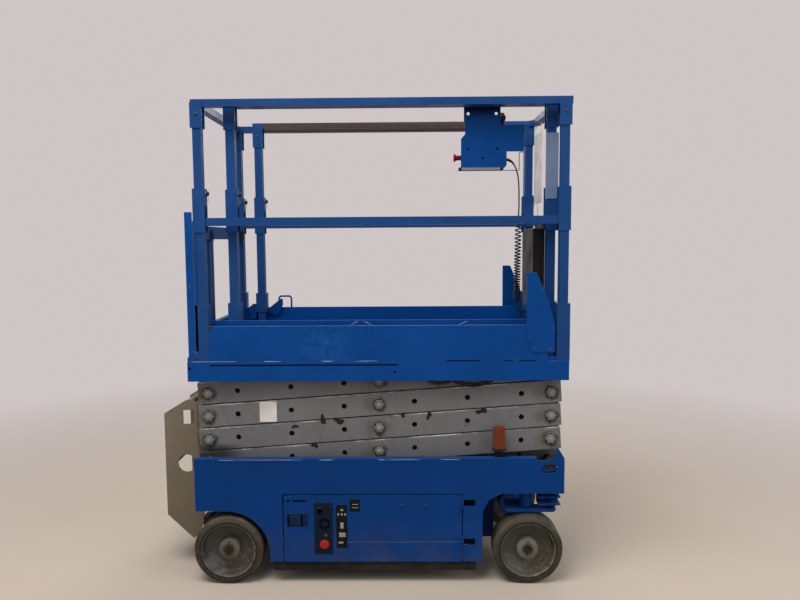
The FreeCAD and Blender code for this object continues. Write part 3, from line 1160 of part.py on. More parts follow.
def deck_latch():
    """On the roll-out deck's far toe board: the grab handle, the latch's foot pedal and its housing."""
    y = "deck_side_y - deck_toe_wall / 2"
    left, right = "grab_rear_x + grab_radius", "grab_front_x - grab_radius"
    bend_z = "grab_top - grab_radius - grab_bend"
    pieces = [round_bar("z", x, y, ("deck_toe_top", bend_z), "grab_radius") for x in (left, right)]
    pieces.append(round_bar("x", (f"{left} + grab_bend", f"{right} - grab_bend"), y,
                            "grab_top - grab_radius",
                            "grab_radius"))
    upright = FreeCAD.Rotation(FreeCAD.Vector(1, 0, 0), 90)
    half_turn = FreeCAD.Rotation(FreeCAD.Vector(0, 0, 1), 180)
    for x, turn in ((f"{right} - grab_bend", upright), (f"{left} + grab_bend", half_turn * upright)):
        bend = doc.addObject("Part::Torus", "Bend")
        bend.Placement = FreeCAD.Placement(FreeCAD.Vector(), turn)
        bend.Angle3 = 90
        bind(bend, "Radius1", "grab_bend")
        bind(bend, "Radius2", "grab_radius")
        pieces.append(place(bend, x, y, bend_z))
    inner = "deck_side_y - deck_toe_wall"
    pedal = prism((("grab_rear_x - 48", "deck_toe_top - 28"), ("grab_rear_x - 6", "deck_toe_top - 40"),
                   ("grab_rear_x + 14", "deck_toe_top - 16"), ("grab_rear_x + 27", "deck_toe_top + 14"),
                   ("grab_rear_x + 26", "deck_toe_top + 44"), ("grab_rear_x + 17", "deck_toe_top + 46"),
                   ("grab_rear_x - 41", "deck_toe_top"), ("grab_rear_x - 48", "deck_toe_top - 8")),
                  (f"{inner} - 16", f"{inner} - 10"))
    bolt = round_bar("y", "grab_rear_x - 26", (f"{inner} - 12", inner), "deck_toe_top - 20", "7")
    housing_x = "inner_rear_x - post_sleeve_half - 2"
    housing = box((f"{housing_x} - 32", housing_x), (f"{inner} - 38", inner),
                  ("deck_toe_top - 58", "deck_toe_top + 10"))
    knob = round_bar("z", f"{housing_x} - 14", f"{inner} - 18", ("deck_toe_top + 9", "deck_toe_top + 19"),
                     "10")
    node("deck_latch", group([fuse(pieces), fuse([pedal, bolt]), fuse([housing, knob])]))


def rollout_fittings():
    """What hangs on the roll-out rails: sign board, post plate, manual box and lock pins."""
    board = box(("sign_x", "sign_x + sign_wall"), ("sign_near_y", "sign_far_y"), ("sign_low", "sign_high"))
    straps = [box(("sign_x", "sign_x + sign_wall"), (f"{y} - 6", f"{y} + 6"),
                  ("sign_high - 1", "inner_top_low"))
              for y in ("sign_near_y + 30", "sign_far_y - 30")]
    middle = "(sign_near_y + sign_far_y) / 2"
    foot = box(("inner_front_x + mid_rail_half", "sign_x + sign_wall"), (f"{middle} - 10", f"{middle} + 10"),
               ("mid_rail_low + mid_rail_half", "mid_rail_low + 2 * mid_rail_half"))
    stay = box(("sign_x", "sign_x + sign_wall"), (f"{middle} - 10", f"{middle} + 10"),
               ("mid_rail_low + mid_rail_half", "sign_low + 1"))
    node("sign_board", fuse([board, foot, stay] + straps))
    node("post_plate", box(("inner_front_x - plate_half", "inner_front_x + plate_half"),
                           across(NEAR, "inner_rail_y + post_half + bracket_wall",
                                  "inner_rail_y + post_half + bracket_wall + sign_wall"),
                           ("plate_low", "plate_high")))
    box_back = "inner_front_x - mid_rail_half"
    holder = box(("manual_rear_x", box_back), ("manual_near_y", "manual_far_y"),
                 ("manual_low", "manual_high"))
    strap = box((f"{box_back} - sign_wall", box_back), ("manual_near_y + 30", "manual_far_y - 30"),
                ("manual_high - 1", "mid_rail_low + mid_rail_half"))
    node("manual_box", fuse([holder, strap]))
    pins = [round_bar("x", (f"{x} + bracket_half", f"{x} + bracket_half + lock_pin_proud"),
                      f"{side} * inner_rail_y",
                      "lock_pin_z", "lock_pin_radius") for x in ("inner_rear_x",
                                                                 "inner_front_x") for side in (NEAR, FAR)]
    node("rollout_lock_pins", group(pins))


def control_box():
    """The platform's control box: housing on a hanger plate, guard plate, foot plate and controls."""
    behind = ("box_near_y + hanger_wall - 1", "box_far_y")
    thin = ("box_near_y", "box_near_y + hanger_wall")
    front = "box_front_x - body_inset / 2"
    top = "inner_top_high - 2"
    plate = prism((("box_rear_x", "box_low"), ("box_front_x - 10", "box_low"),
                   ("box_front_x", "box_low + 8"),
                   ("box_front_x", "shield_low"), ("shield_front_x",
                                                   "shield_low"), ("shield_front_x", "shield_high"),
                   ("box_neck_front_x", "shield_high"), ("box_neck_front_x", top), ("hanger_rear_x", top),
                   ("hanger_rear_x", "shield_high + 14"), ("box_neck_rear_x", "shield_high + 8"),
                   ("box_neck_rear_x", "box_knee_z"), ("box_rear_x", "box_knee_z - 21")), thin)
    housing = box(("box_rear_x + body_inset", front), behind, ("box_low", "box_high"))
    cap = box(("hanger_rear_x", "box_neck_front_x"), across(NEAR, "-box_near_y - 1",
                                                            "inner_rail_y - top_rail_half"),
              ("inner_top_low + 12", top))
    holes = [round_bar("y", x, ("box_near_y - 1", "box_near_y + hanger_wall + 1"), "hanger_hole_z",
                       "hanger_hole_radius")
             for x in ("hanger_rear_x + hanger_hole_inset", "box_neck_front_x - hanger_hole_inset")]
    node("control_box", cut(fuse([plate, housing, cap]), holes))
    node("control_box_foot", box(("box_rear_x - 8", "box_front_x - 14"), ("box_near_y", "box_near_y + 45"),
                                 ("foot_low", "box_low")))
    middle_y = "(box_near_y + box_far_y) / 2"
    face = "stop_rear_x + 18"
    node("control_stop", fuse([round_bar("x", ("stop_rear_x", face), middle_y, "stop_z", "stop_radius"),
                               round_bar("x", (f"{face} - 1", "box_rear_x + body_inset"), middle_y,
                                         "stop_z", "9")]))
    stick = [round_bar("z", "stick_x - 9", middle_y, ("box_high", "hanger_hole_z - 30"), "8"),
             round_bar("z", "stick_x - 5", middle_y, ("hanger_hole_z - 36", "hanger_hole_z - 19"), "13"),
             round_bar("z", "stick_x", middle_y, ("hanger_hole_z - 20", "hanger_hole_z + 8"),
                       "stick_radius"),
             round_bar("z", "stick_x", middle_y, ("hanger_hole_z + 7", "hanger_hole_z + 15"), "12")]
    gland = round_bar("x", (front, "box_front_x + 10"), middle_y, "box_low + 41", "gland_radius")
    node("control_stick", group([fuse(stick), gland]))


def path_of(points):
    """Straight runs joined by tangent arcs, each arc as large as its two runs allow."""
    corners = [FreeCAD.Vector(*point) for point in points]
    edges, start = [], corners[0]
    for before, corner, after in zip(corners, corners[1:], corners[2:]):
        back, ahead = (before - corner), (after - corner)
        run = 0.45 * min(back.Length, ahead.Length)
        first = corner + back.normalize() * run
        last = corner + ahead.normalize() * run
        turn = math.pi - back.getAngle(ahead)
        radius = run / math.tan(turn / 2)
        middle_way = (back + ahead).normalize()
        centre = corner + middle_way * (radius / math.cos(turn / 2))
        middle = centre - middle_way * radius
        edges.append(Part.LineSegment(start, first).toShape())
        edges.append(Part.Arc(first, middle, last).toShape())
        print("cord bend radius", round(radius, 1))
        start = last
    edges.append(Part.LineSegment(start, corners[-1]).toShape())
    return Part.Wire(edges)


def swept(name, points, radius):
    """A round tube along a path."""
    path = path_of(points)
    start = FreeCAD.Vector(*points[0])
    way = FreeCAD.Vector(*points[1]) - start
    ring = Part.Wire([Part.Circle(start, way, radius).toShape()])
    item = doc.addObject("Part::Feature", "Tube")
    item.Shape = path.makePipeShell([ring], True, True)
    expected = math.pi * radius ** 2 * path.Length
    print(name, "volume share", round(item.Shape.Volume / expected, 4), "length", round(path.Length, 1))
    return node(name, item)


# The control cord's route, chosen by hand: box gland, lead down, coil, lead to the deck's socket
CORD_UPPER = ((663.2, -182.5, 1867), (677, -182.5, 1862), (690, -184, 1851), (700, -187, 1832),
              (708, -190, 1810), (713.5, -193, 1773), (715.5, -195, 1730), (715.5, -197, 1685),
              (715, -198.5, 1640), (712.5, -199.5, 1604), (711, -200, 1581.6))
CORD_COIL = ((711, -200, 1581), (712, -200.5, 1496), (709, -201, 1410), (710, -201, 1325), (708, -201, 1240))
CORD_LOWER = ((708, -201, 1239.4), (711, -202, 1218), (720, -205, 1196), (731, -209, 1176),
              (738, -214, 1152), (739, -221, 1130), (739, -233, 1113), (739, -247, 1104), (739, -262, 1104))


def control_cord():
    """The curly cord from the control box to its socket on the roll-out deck's toe board."""
    swept("cord_upper", CORD_UPPER, size["cord_radius"])
    swept("cord_coil", CORD_COIL, size["coil_radius"])
    swept("cord_lower", CORD_LOWER, size["cord_radius"])
    end = CORD_LOWER[-1]
    socket = round_bar("y", str(end[0]), across(NEAR, str(-end[1] + 0.5), "deck_side_y - deck_toe_wall"),
                       str(end[2]),
                       "gland_radius * 1.5")
    node("cord_socket", socket)


chassis()
lower_tracks()
tray_door(NEAR, "tray_door_near")
tray_door(FAR, "tray_door_far")
tray_load(NEAR, "power_unit")
tray_load(FAR, "battery_pack")
pothole_guard(NEAR, "guard_near")
pothole_guard(FAR, "guard_far")
for side, side_name in ((NEAR, "near"), (FAR, "far")):
    wheel(side, "(front_axle_x - wheelbase)", f"rear_{side_name}")
    wheel(side, "front_axle_x", f"front_{side_name}")
    yoke(side, f"yoke_{side_name}")
tie_rod()
for level in (1, 2, 3, 4):
    outer_arms(level)
    inner_arms(level)
rollers()
lift_cylinder()
ladder()
beacons()
ground_controls()
platform_frame()
toe_boards()
main_lower_rails()
entry_gate()
gussets()
lock_pins()
main_folding_rails()
rollout_deck()
rollout_rails()
deck_latch()
rollout_fittings()
control_box()
control_cord()

doc.recompute()
failed = [item for item in doc.Objects if "Invalid" in item.State or "Error" in item.State]
for item in failed:
    print(item.Name, item.Label, item.State, item.ExpressionEngine)
if failed:
    raise RuntimeError(f"{len(failed)} objects failed")
os.makedirs("parts", exist_ok=True)
for item in parts:
    if item.Shape.isNull() or not item.Shape.isValid():
        raise RuntimeError(f"{item.Label} has no valid shape")
    item.Shape.exportStep(f"parts/{item.Label}.step")
    print(item.Label, "solids", len(item.Shape.Solids), "volume", round(item.Shape.Volume / 1000), "cm3")
print(len(parts), "nodes")
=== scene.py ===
"""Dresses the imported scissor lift: finishes for its solids, wheels, fasteners, controls, cord and stage."""
import json
import math

import bmesh
import bpy
import numpy as np
from mathutils import Matrix, Vector


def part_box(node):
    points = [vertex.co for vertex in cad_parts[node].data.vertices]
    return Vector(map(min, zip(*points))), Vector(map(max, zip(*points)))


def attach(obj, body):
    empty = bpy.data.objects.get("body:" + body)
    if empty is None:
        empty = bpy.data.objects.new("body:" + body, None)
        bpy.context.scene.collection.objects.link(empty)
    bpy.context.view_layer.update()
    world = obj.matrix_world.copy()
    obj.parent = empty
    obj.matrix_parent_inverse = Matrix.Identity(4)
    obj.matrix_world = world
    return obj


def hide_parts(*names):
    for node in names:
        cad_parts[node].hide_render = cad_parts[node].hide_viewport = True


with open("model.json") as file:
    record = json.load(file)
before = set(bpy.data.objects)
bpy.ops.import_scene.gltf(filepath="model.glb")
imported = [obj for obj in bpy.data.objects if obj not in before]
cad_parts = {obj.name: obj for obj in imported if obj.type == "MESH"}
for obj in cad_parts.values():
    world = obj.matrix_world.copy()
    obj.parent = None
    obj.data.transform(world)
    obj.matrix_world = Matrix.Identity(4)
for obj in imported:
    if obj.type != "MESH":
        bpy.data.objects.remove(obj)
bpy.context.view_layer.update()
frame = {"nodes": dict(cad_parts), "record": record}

bl_info = {
    "name": "Scissor lift dressing",
    "version": (1, 0, 0),
    "blender": (4, 5, 0),
    "location": "3D View > Sidebar > Lift",
    "description": "Builds the visible pieces and finishes of the scissor lift",
    "category": "Add Mesh",
}

TAU = math.tau
NEAR, FAR = -1, 1
SIDES = ((NEAR, "near"), (FAR, "far"))
LEVELS = (1, 2, 3, 4)

# Faces of the solids that pieces stand on, in metres out from the middle plane
ARM_FACE = 0.3175
WASHER_FACE = 0.324
DOOR_FACE = 0.372
PANEL_FACE = 0.375
NOTCH_BACK = 0.326
CHASSIS_SIDE = 0.3793
CHANNEL_FACE = 0.3745
GUSSET_FACE = 0.3785
BOX_FACE = 0.250
CROSS_TUBE_END = 0.2085

# Places of posts, pins and hoses: out from the middle plane, along the lift, and heights over the floor
POST_OUT = 0.350
ROLLOUT_POST_OUT = 0.280
POSTS = ((-0.665, NEAR), (-0.665, FAR), (0.845, FAR), (0.881, NEAR))
ROLLOUT_POSTS = ((-0.543, NEAR), (-0.543, FAR), (0.838, NEAR), (0.838, FAR))
BRACKET_HALF = 0.0232
HOSE_OUT = 0.345
DECK_TOP = 1.024
CHASSIS_EDGE = 0.5632
CHANNEL_EDGE = 0.9965
FOLD_BOLTS = 2.045
LOCK_PINS = 1.715

# Small shapes' sizes
RIM_RADIUS = 0.122
WALL_BULGE = 0.0035
CROSS_TUBE_RADIUS = 0.031
LENS_RIB_PITCH = 0.0075

# Colours laid on the top faces of the blue paint, on the platform and on the chassis: painted light from above, a
# lighter blue, with some dust
PALE_DUSTY_TOP_LIGHT = (0.165, 0.205, 0.270)
BLUE_DUSTY_TOP_LIGHT = (0.030, 0.085, 0.190)

# Flakes of dried dirt on the outer arms, (x, z)
FLAKES_NEAR = ((-0.284, 0.695), (-0.197, 0.611), (-0.089, 0.719), (-0.160, 0.724), (0.194, 0.745),
               (0.308, 0.742), (0.541, 0.762))
FLAKES_FAR = ((-0.46, 0.69), (-0.22, 0.78), (-0.05, 0.64), (0.13, 0.83), (0.33, 0.71), (0.60, 0.80),
              (0.47, 0.66))

# The control cord's route, in metres: lead from the box, middle line of the coil, lead to the socket
CORD_UPPER = ((0.6632, -0.1825, 1.867), (0.677, -0.1825, 1.862), (0.69, -0.184, 1.851), (0.7, -0.187, 1.832),
              (0.708, -0.19, 1.81), (0.7135, -0.193, 1.773), (0.7155, -0.195, 1.73), (0.7155, -0.197, 1.685),
              (0.715, -0.1985, 1.64), (0.7125, -0.1995, 1.604), (0.711, -0.2, 1.5816))
CORD_COIL = ((0.711, -0.2, 1.581), (0.712, -0.2005, 1.496), (0.709, -0.201, 1.41), (0.71, -0.201, 1.325),
             (0.708, -0.201, 1.24))
CORD_LOWER = ((0.708, -0.201, 1.2394), (0.711, -0.202, 1.218), (0.72, -0.205, 1.196), (0.731, -0.209, 1.176),
              (0.738, -0.214, 1.152), (0.739, -0.221, 1.13), (0.739, -0.233, 1.113), (0.739, -0.247, 1.104),
              (0.739, -0.262, 1.104))


# Sizes and colours that a user would change

def length(label, description, default):
    """A size in metres."""
    return bpy.props.FloatProperty(name=label, description=description, default=default, unit="LENGTH",
                                   subtype="DISTANCE", precision=4)


def colour(label, description, default):
    """A colour, as linear red, green and blue."""
    return bpy.props.FloatVectorProperty(name=label, description=description, default=default, subtype="COLOR",
                                         size=3, min=0.0, max=1.0)


class LiftColours(bpy.types.PropertyGroup):
    """Base colours of the finishes."""
    blue: colour("Blue paint", "Paint of the platform", (0.0016, 0.0445, 0.205))
    # The chassis blue is the platform's blue made darker: painted shade on the lower part of the lift.
    blue_low: colour("Chassis paint", "Paint of the chassis and doors", (0.0012, 0.0325, 0.158))
    rails: colour("Rail paint", "Paint of the rails and posts", (0.0085, 0.0440, 0.156))
    arms: colour("Arm paint", "Paint of the scissor arms", (0.122, 0.122, 0.130))
    zinc: colour("Galvanised", "Ladder and foot plate", (0.185, 0.160, 0.122))
    rubber: colour("Tyre rubber", "Solid tyres", (0.022, 0.021, 0.016))
    road_dirt: colour("Road dirt", "Dry dirt on tyres and low plates", (0.095, 0.074, 0.042))
    dust: colour("Dust", "Dust that settles on top faces", (0.12, 0.11, 0.095))
    grime: colour("Grime", "Oily dirt round pins and in corners", (0.020, 0.019, 0.016))
    rust: colour("Rust", "Rust in chips and at edges", (0.075, 0.034, 0.016))
    rim: colour("Wheel paint", "Paint of the wheels' dishes", (0.036, 0.037, 0.028))
    black: colour("Black plastic", "Housings, grips and cord", (0.008, 0.008, 0.009))
    red: colour("Stop red", "Stop buttons", (0.33, 0.010, 0.012))
    amber: colour("Amber lens", "Beacons", (0.115, 0.022, 0.006))
    white: colour("White board", "Blank sign board and arm plate", (0.57, 0.54, 0.54))
    # The blank plate on the front post: blue paint lightened by a painted reflection of glare.
    faded: colour("Faded plate", "Blank plate on the front post", (0.125, 0.172, 0.275))


class LiftSizes(bpy.types.PropertyGroup):
    """Sizes of the added pieces."""
    edge: length("Edge round", "Radius of the worn rounding on steel edges", 0.0016)
    nut: length("Pin nut", "Scissor pin nuts, across their flats", 0.039)
    nut_depth: length("Pin nut depth", "Scissor pin nuts, out from their washers", 0.0085)
    bolt: length("Bolt head", "Bolt heads on posts and plates, across their flats", 0.011)
    cord: length("Cord", "Control cord, diameter", 0.006)
    coil: length("Coil", "Cord's coil, from its middle line to the cord's middle", 0.0125)
    pitch_top: length("Pitch at the top", "Rise of one turn at the coil's upper end", 0.0195)
    pitch_low: length("Pitch at the bottom", "Rise of one turn at the coil's lower end", 0.0088)
    tyre_shoulder: length("Tyre shoulder", "Round of a tyre's shoulders", 0.011)


class LiftStage(bpy.types.PropertyGroup):
    """Camera, floor and lamps."""
    camera_place: bpy.props.FloatVectorProperty(name="Camera", description="The camera's place", size=3,
                                                default=(0.2204, -3.2808, 1.5155), subtype="TRANSLATION",
                                                unit="LENGTH")
    pitch: bpy.props.FloatProperty(name="Pitch", description="Camera tilt below level", unit="ROTATION",
                                   subtype="ANGLE", default=math.radians(5.046))
    yaw: bpy.props.FloatProperty(name="Yaw", description="Camera turn to the left", unit="ROTATION",
                                 subtype="ANGLE", default=math.radians(0.704))
    roll: bpy.props.FloatProperty(name="Roll", description="Camera roll", unit="ROTATION", subtype="ANGLE",
                                  default=math.radians(0.388))
    lens: bpy.props.FloatProperty(name="Lens", description="Focal length in millimetres on a 36 mm sensor",
                                  default=30.83, unit="CAMERA")
    floor: colour("Floor", "Pale floor", (0.43, 0.375, 0.325))
    backdrop: colour("Backdrop", "Pale background", (0.62, 0.565, 0.56))
    world: bpy.props.FloatProperty(name="Fill", description="Strength of the even light from all round",
                                   default=0.55, min=0.0)
    key: bpy.props.FloatProperty(name="Key lamp", description="Power of the overhead lamp", default=190.0,
                                 unit="POWER")


def settings():
    """The three groups of settings."""
    scene = bpy.context.scene
    return scene.lift_colours, scene.lift_sizes, scene.lift_stage


# Shapes: each is (points, faces), the faces as arrays of corner numbers, one array per count of corners

def grid_faces(rows, columns, wrap_rows=False):
    """Quads of a grid whose rows are closed rings: corner (i, j) joins (i, j+1), (i+1, j+1) and (i+1, j)."""
    i, j = np.meshgrid(np.arange(rows if wrap_rows else rows - 1), np.arange(columns), indexing="ij")
    i2, j2 = (i + 1) % rows, (j + 1) % columns
    corners = (i * columns + j, i * columns + j2, i2 * columns + j2, i2 * columns + j)
    return np.stack(corners, axis=-1).reshape(-1, 4)


def capped(grid, wrap_rows=False):
    """A shape from a grid of rings; its two end rings are closed with flat faces."""
    rows, columns = grid.shape[:2]
    faces = [grid_faces(rows, columns, wrap_rows)]
    if not wrap_rows:
        ring = np.arange(columns)
        faces += [ring[None, ::-1], (ring + (rows - 1) * columns)[None]]
    return grid.reshape(-1, 3), faces


AXES = {"x": np.array(((1, 0, 0), (0, 1, 0), (0, 0, 1))),
        "y": np.array(((0, 1, 0), (0, 0, 1), (1, 0, 0))),
        "z": np.array(((0, 0, 1), (1, 0, 0), (0, 1, 0)))}


def lathe(profile, axis, sides, loop=False):
    """A turned shape: for a profile point (along, radius) and angle t, the point is along the axis by `along`
    and radius * (cos t, sin t) across it. With loop, the profile is a closed ring in section."""
    along, radius = np.asarray(profile, float).T
    angle = np.arange(sides) * TAU / sides
    local = np.stack(np.broadcast_arrays(along[:, None], radius[:, None] * np.cos(angle),
                                         radius[:, None] * np.sin(angle)), axis=-1)
    return capped(local @ AXES[axis], loop)


def rounded(width, height, radius, steps=6):
    """Outline of a rounded rectangle: each corner's centre plus radius * (cos t, sin t) over a quarter turn."""
    quarter = np.linspace(0, TAU / 4, steps)
    turn = (np.arange(4)[:, None] * TAU / 4 + quarter).reshape(-1)
    corner = np.repeat(np.array(((1, 1), (-1, 1), (-1, -1), (1, -1)), float), steps, axis=0)
    centre = corner * (width / 2 - radius, height / 2 - radius)
    return centre + radius * np.stack([np.cos(turn), np.sin(turn)], axis=-1)


def hexagon(flats):
    """Outline of a hexagon, given the size across its flats."""
    angle = np.arange(6) * TAU / 6 + TAU / 12
    return np.stack([np.cos(angle), np.sin(angle)], axis=-1) * flats / 2 / math.cos(TAU / 12)


def span(side, inner, outer):
    """Low and high along Y between two distances from the middle plane, on one side of the lift."""
    return sorted((side * inner, side * outer))


def plate(outline, low, high, axis, soft=0.0):
    """An outline, (z, x) along Y or (x, y) along Z, carried along the axis from low to high; with soft, both
    rims step in by that much, as the outline scaled about its middle."""
    outline = np.asarray(outline, float)
    middle = outline.mean(axis=0)
    reach = np.abs(outline - middle).max()
    share = np.array([1 - soft / reach, 1, 1, 1 - soft / reach]) if soft else np.array([1, 1])
    along = np.array([low, low + soft, high - soft, high]) if soft else np.array([low, high])
    flat = middle + (outline - middle)[None] * share[:, None, None]
    grid = np.concatenate([np.broadcast_to(along[:, None, None], flat.shape[:2] + (1,)), flat], axis=-1)
    return capped(grid @ AXES[axis])


def tube(path, radius, sides=12, up=(0.0, 0.0, 1.0)):
    """A round section carried along a path: at each point two unit vectors square to the path's direction
    span the circle, and radius may change along the path."""
    path = np.asarray(path, float)
    along = np.gradient(path, axis=0)
    along /= np.linalg.norm(along, axis=1, keepdims=True)
    across = np.cross(along, up)
    across /= np.linalg.norm(across, axis=1, keepdims=True)
    other = np.cross(across, along)
    angle = np.arange(sides) * TAU / sides
    radius = np.broadcast_to(np.asarray(radius, float), (len(path),))[:, None, None]
    ring = np.cos(angle)[None, :, None] * across[:, None] + np.sin(angle)[None, :, None] * other[:, None]
    return capped(path[:, None] + radius * ring)


def blot(radius, seed):
    """Outline of an irregular patch: at each angle, radius * (1 plus sines of 2, 3 and 7 times the angle)."""
    t = np.arange(40) * TAU / 40
    reach = radius * (1 + 0.32 * np.sin(2 * t + seed) + 0.20 * np.sin(3 * t + 2.3 * seed)
                      + 0.10 * np.sin(7 * t + 5.1 * seed))
    return reach[:, None] * np.stack([np.sin(t), np.cos(t) * 1.25], axis=-1)


def stacked(levels, ribs=0.0):
    """Rounded-square sections stacked along Z: at height z the section reaches half_x and half_y, as
    sign(cos t) * |cos t| ^ 0.35 and the same of sin t; its depth swells by `ribs` times a cosine of x."""
    t = np.arange(144) * TAU / 144
    z, half_x, half_y = np.asarray(levels, float).T[:, :, None]
    x = half_x * np.sign(np.cos(t)) * np.abs(np.cos(t)) ** 0.35
    y = half_y * np.sign(np.sin(t)) * np.abs(np.sin(t)) ** 0.35 * (1 + ribs * np.cos(TAU * x / LENS_RIB_PITCH))
    return capped(np.stack([x, y, np.broadcast_to(z, x.shape)], axis=-1))


def moved(shape, place):
    """A shape with a place added to its points."""
    return shape[0] + np.asarray(place, float), shape[1]


def many(shape, places):
    """Copies of a shape: its points plus each place in turn."""
    points, faces = shape
    places = np.asarray(places, float).reshape(-1, 3)
    step = np.arange(len(places))[:, None, None] * len(points)
    return ((points[None] + places[:, None]).reshape(-1, 3),
            [(block[None] + step).reshape(-1, block.shape[1]) for block in faces])


def joined(*shapes):
    """Several shapes as one."""
    points, faces, start = [], [], 0
    for shape_points, shape_faces in shapes:
        points.append(shape_points)
        faces += [block + start for block in shape_faces]
        start += len(shape_points)
    return np.concatenate(points), faces


def piece(name, shape, finish, body, replaces=(), smooth=35.0):
    """Makes a shape an object at the origin that rides on a body, its faces turned outwards and its shading
    smooth where faces meet at less than the given angle in degrees."""
    points, faces = shape
    mesh = bpy.data.meshes.new(name)
    mesh.from_pydata(points.tolist(), [], [face for block in faces for face in block.tolist()])
    work = bmesh.new()
    work.from_mesh(mesh)
    bmesh.ops.remove_doubles(work, verts=work.verts, dist=1e-6)
    bmesh.ops.recalc_face_normals(work, faces=work.faces)
    work.to_mesh(mesh)
    work.free()
    mesh.materials.append(finish)
    obj = bpy.data.objects.new(name, mesh)
    bpy.context.scene.collection.objects.link(obj)
    if smooth:
        mesh.shade_smooth()
        mesh.set_sharp_from_angle(angle=math.radians(smooth))
    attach(obj, body)
    if replaces:
        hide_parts(*replaces)
    return obj


# Finishes

class Finish:
    """A node material in the making; every pattern reads Object coordinates, in metres."""

    def __init__(self, name):
        self.material = bpy.data.materials.new(name)
        self.material.use_nodes = True
        tree = self.material.node_tree
        self.nodes, self.links = tree.nodes, tree.links
        self.shader = self.nodes["Principled BSDF"]
        self.output = self.nodes["Material Output"]
        self.place = self.node("ShaderNodeTexCoord").outputs["Object"]

    def node(self, kind, inputs=None, **options):
        """Adds a node, sets its options, and links or sets its inputs."""
        item = self.nodes.new(kind)
        for key, value in options.items():
            setattr(item, key, value)
        for key, value in (inputs or {}).items():
            self.put(item.inputs[key], value)
        return item

    def put(self, socket, value):
        """Links a socket, or sets its own value."""
        if isinstance(value, bpy.types.NodeSocket):
            self.links.new(value, socket)
        elif hasattr(socket.default_value, "__len__") and not hasattr(value, "__len__"):
            socket.default_value = [value] * len(socket.default_value)
        elif hasattr(value, "__len__") and len(value) == 3 and len(socket.default_value) == 4:
            socket.default_value = (*value, 1.0)
        else:
            socket.default_value = value

    def stretched(self, scale, turn=(0.0, 0.0, 0.0)):
        """Object coordinates scaled apart along the axes."""
        return self.node("ShaderNodeMapping", {"Vector": self.place, "Scale": scale, "Rotation": turn}
                         ).outputs["Vector"]

    def noise(self, scale, detail=3.0, rough=0.55, vector=None):
        """Soft random pattern, around 0.5."""
        return self.node("ShaderNodeTexNoise", {"Vector": vector or self.place, "Scale": scale,
                                                "Detail": detail, "Roughness": rough}).outputs["Fac"]

    def between(self, value, low, high, out_low=0.0, out_high=1.0):
        """A value carried from one range to another, and kept in it."""
        return self.node("ShaderNodeMapRange", {"Value": value, "From Min": low, "From Max": high,
                                                "To Min": out_low, "To Max": out_high}, clamp=True
                         ).outputs["Result"]

    def calc(self, operation, first, second=0.0):
        """One step of arithmetic."""
        return self.node("ShaderNodeMath", {0: first, 1: second}, operation=operation).outputs[0]

    def times(self, first, second):
        """Two values multiplied."""
        return self.calc("MULTIPLY", first, second)

    def over(self, base, tint, mask, share):
        """The base with a tint laid over it where the mask is 1, by a share."""
        return self.mix(self.times(mask, share), base, tint)

    def mix(self, share, first, second):
        """A blend of two colours."""
        item = self.node("ShaderNodeMix", data_type="RGBA")
        for socket, value in ((item.inputs[0], share), (item.inputs[6], first), (item.inputs[7], second)):
            self.put(socket, value)
        return item.outputs[2]

    def upward(self):
        """How far a face looks up, from 0 to 1."""
        normal = self.node("ShaderNodeNewGeometry").outputs["Normal"]
        height = self.node("ShaderNodeSeparateXYZ", {0: normal}).outputs["Z"]
        return self.between(height, 0.55, 0.95)

    def along(self, axis):
        """Place along X, Y or Z, in metres."""
        return self.node("ShaderNodeSeparateXYZ", {0: self.place}).outputs[axis]

    def edges(self, radius):
        """Where faces meet at an edge: one less the dot of the rounded and the plain normal."""
        soft = self.node("ShaderNodeBevel", {"Radius": radius}, samples=4).outputs["Normal"]
        plain = self.node("ShaderNodeNewGeometry").outputs["Normal"]
        dot = self.node("ShaderNodeVectorMath", {0: soft, 1: plain}, operation="DOT_PRODUCT").outputs["Value"]
        return self.between(dot, 0.995, 0.80)

    def bump(self, value, distance, strength=1.0):
        """Relief from a value; calls after the first add to it."""
        inputs = {"Height": value, "Distance": distance, "Strength": strength}
        if self.shader.inputs["Normal"].is_linked:
            inputs["Normal"] = self.shader.inputs["Normal"].links[0].from_socket
        self.put(self.shader.inputs["Normal"], self.node("ShaderNodeBump", inputs).outputs["Normal"])

    def done(self, base, rough, metal=0.0, **extra):
        """Sets the shader's own sockets and hands over the material."""
        values = {"Base Color": base, "Roughness": rough, "Metallic": metal, "Specular IOR Level": 0.18}
        for key, value in {**values, **extra}.items():
            self.put(self.shader.inputs[key], value)
        return self.material


def scaled(tint, share):
    """A colour made lighter or darker."""
    return tuple(min(1.0, channel * share) for channel in tint)


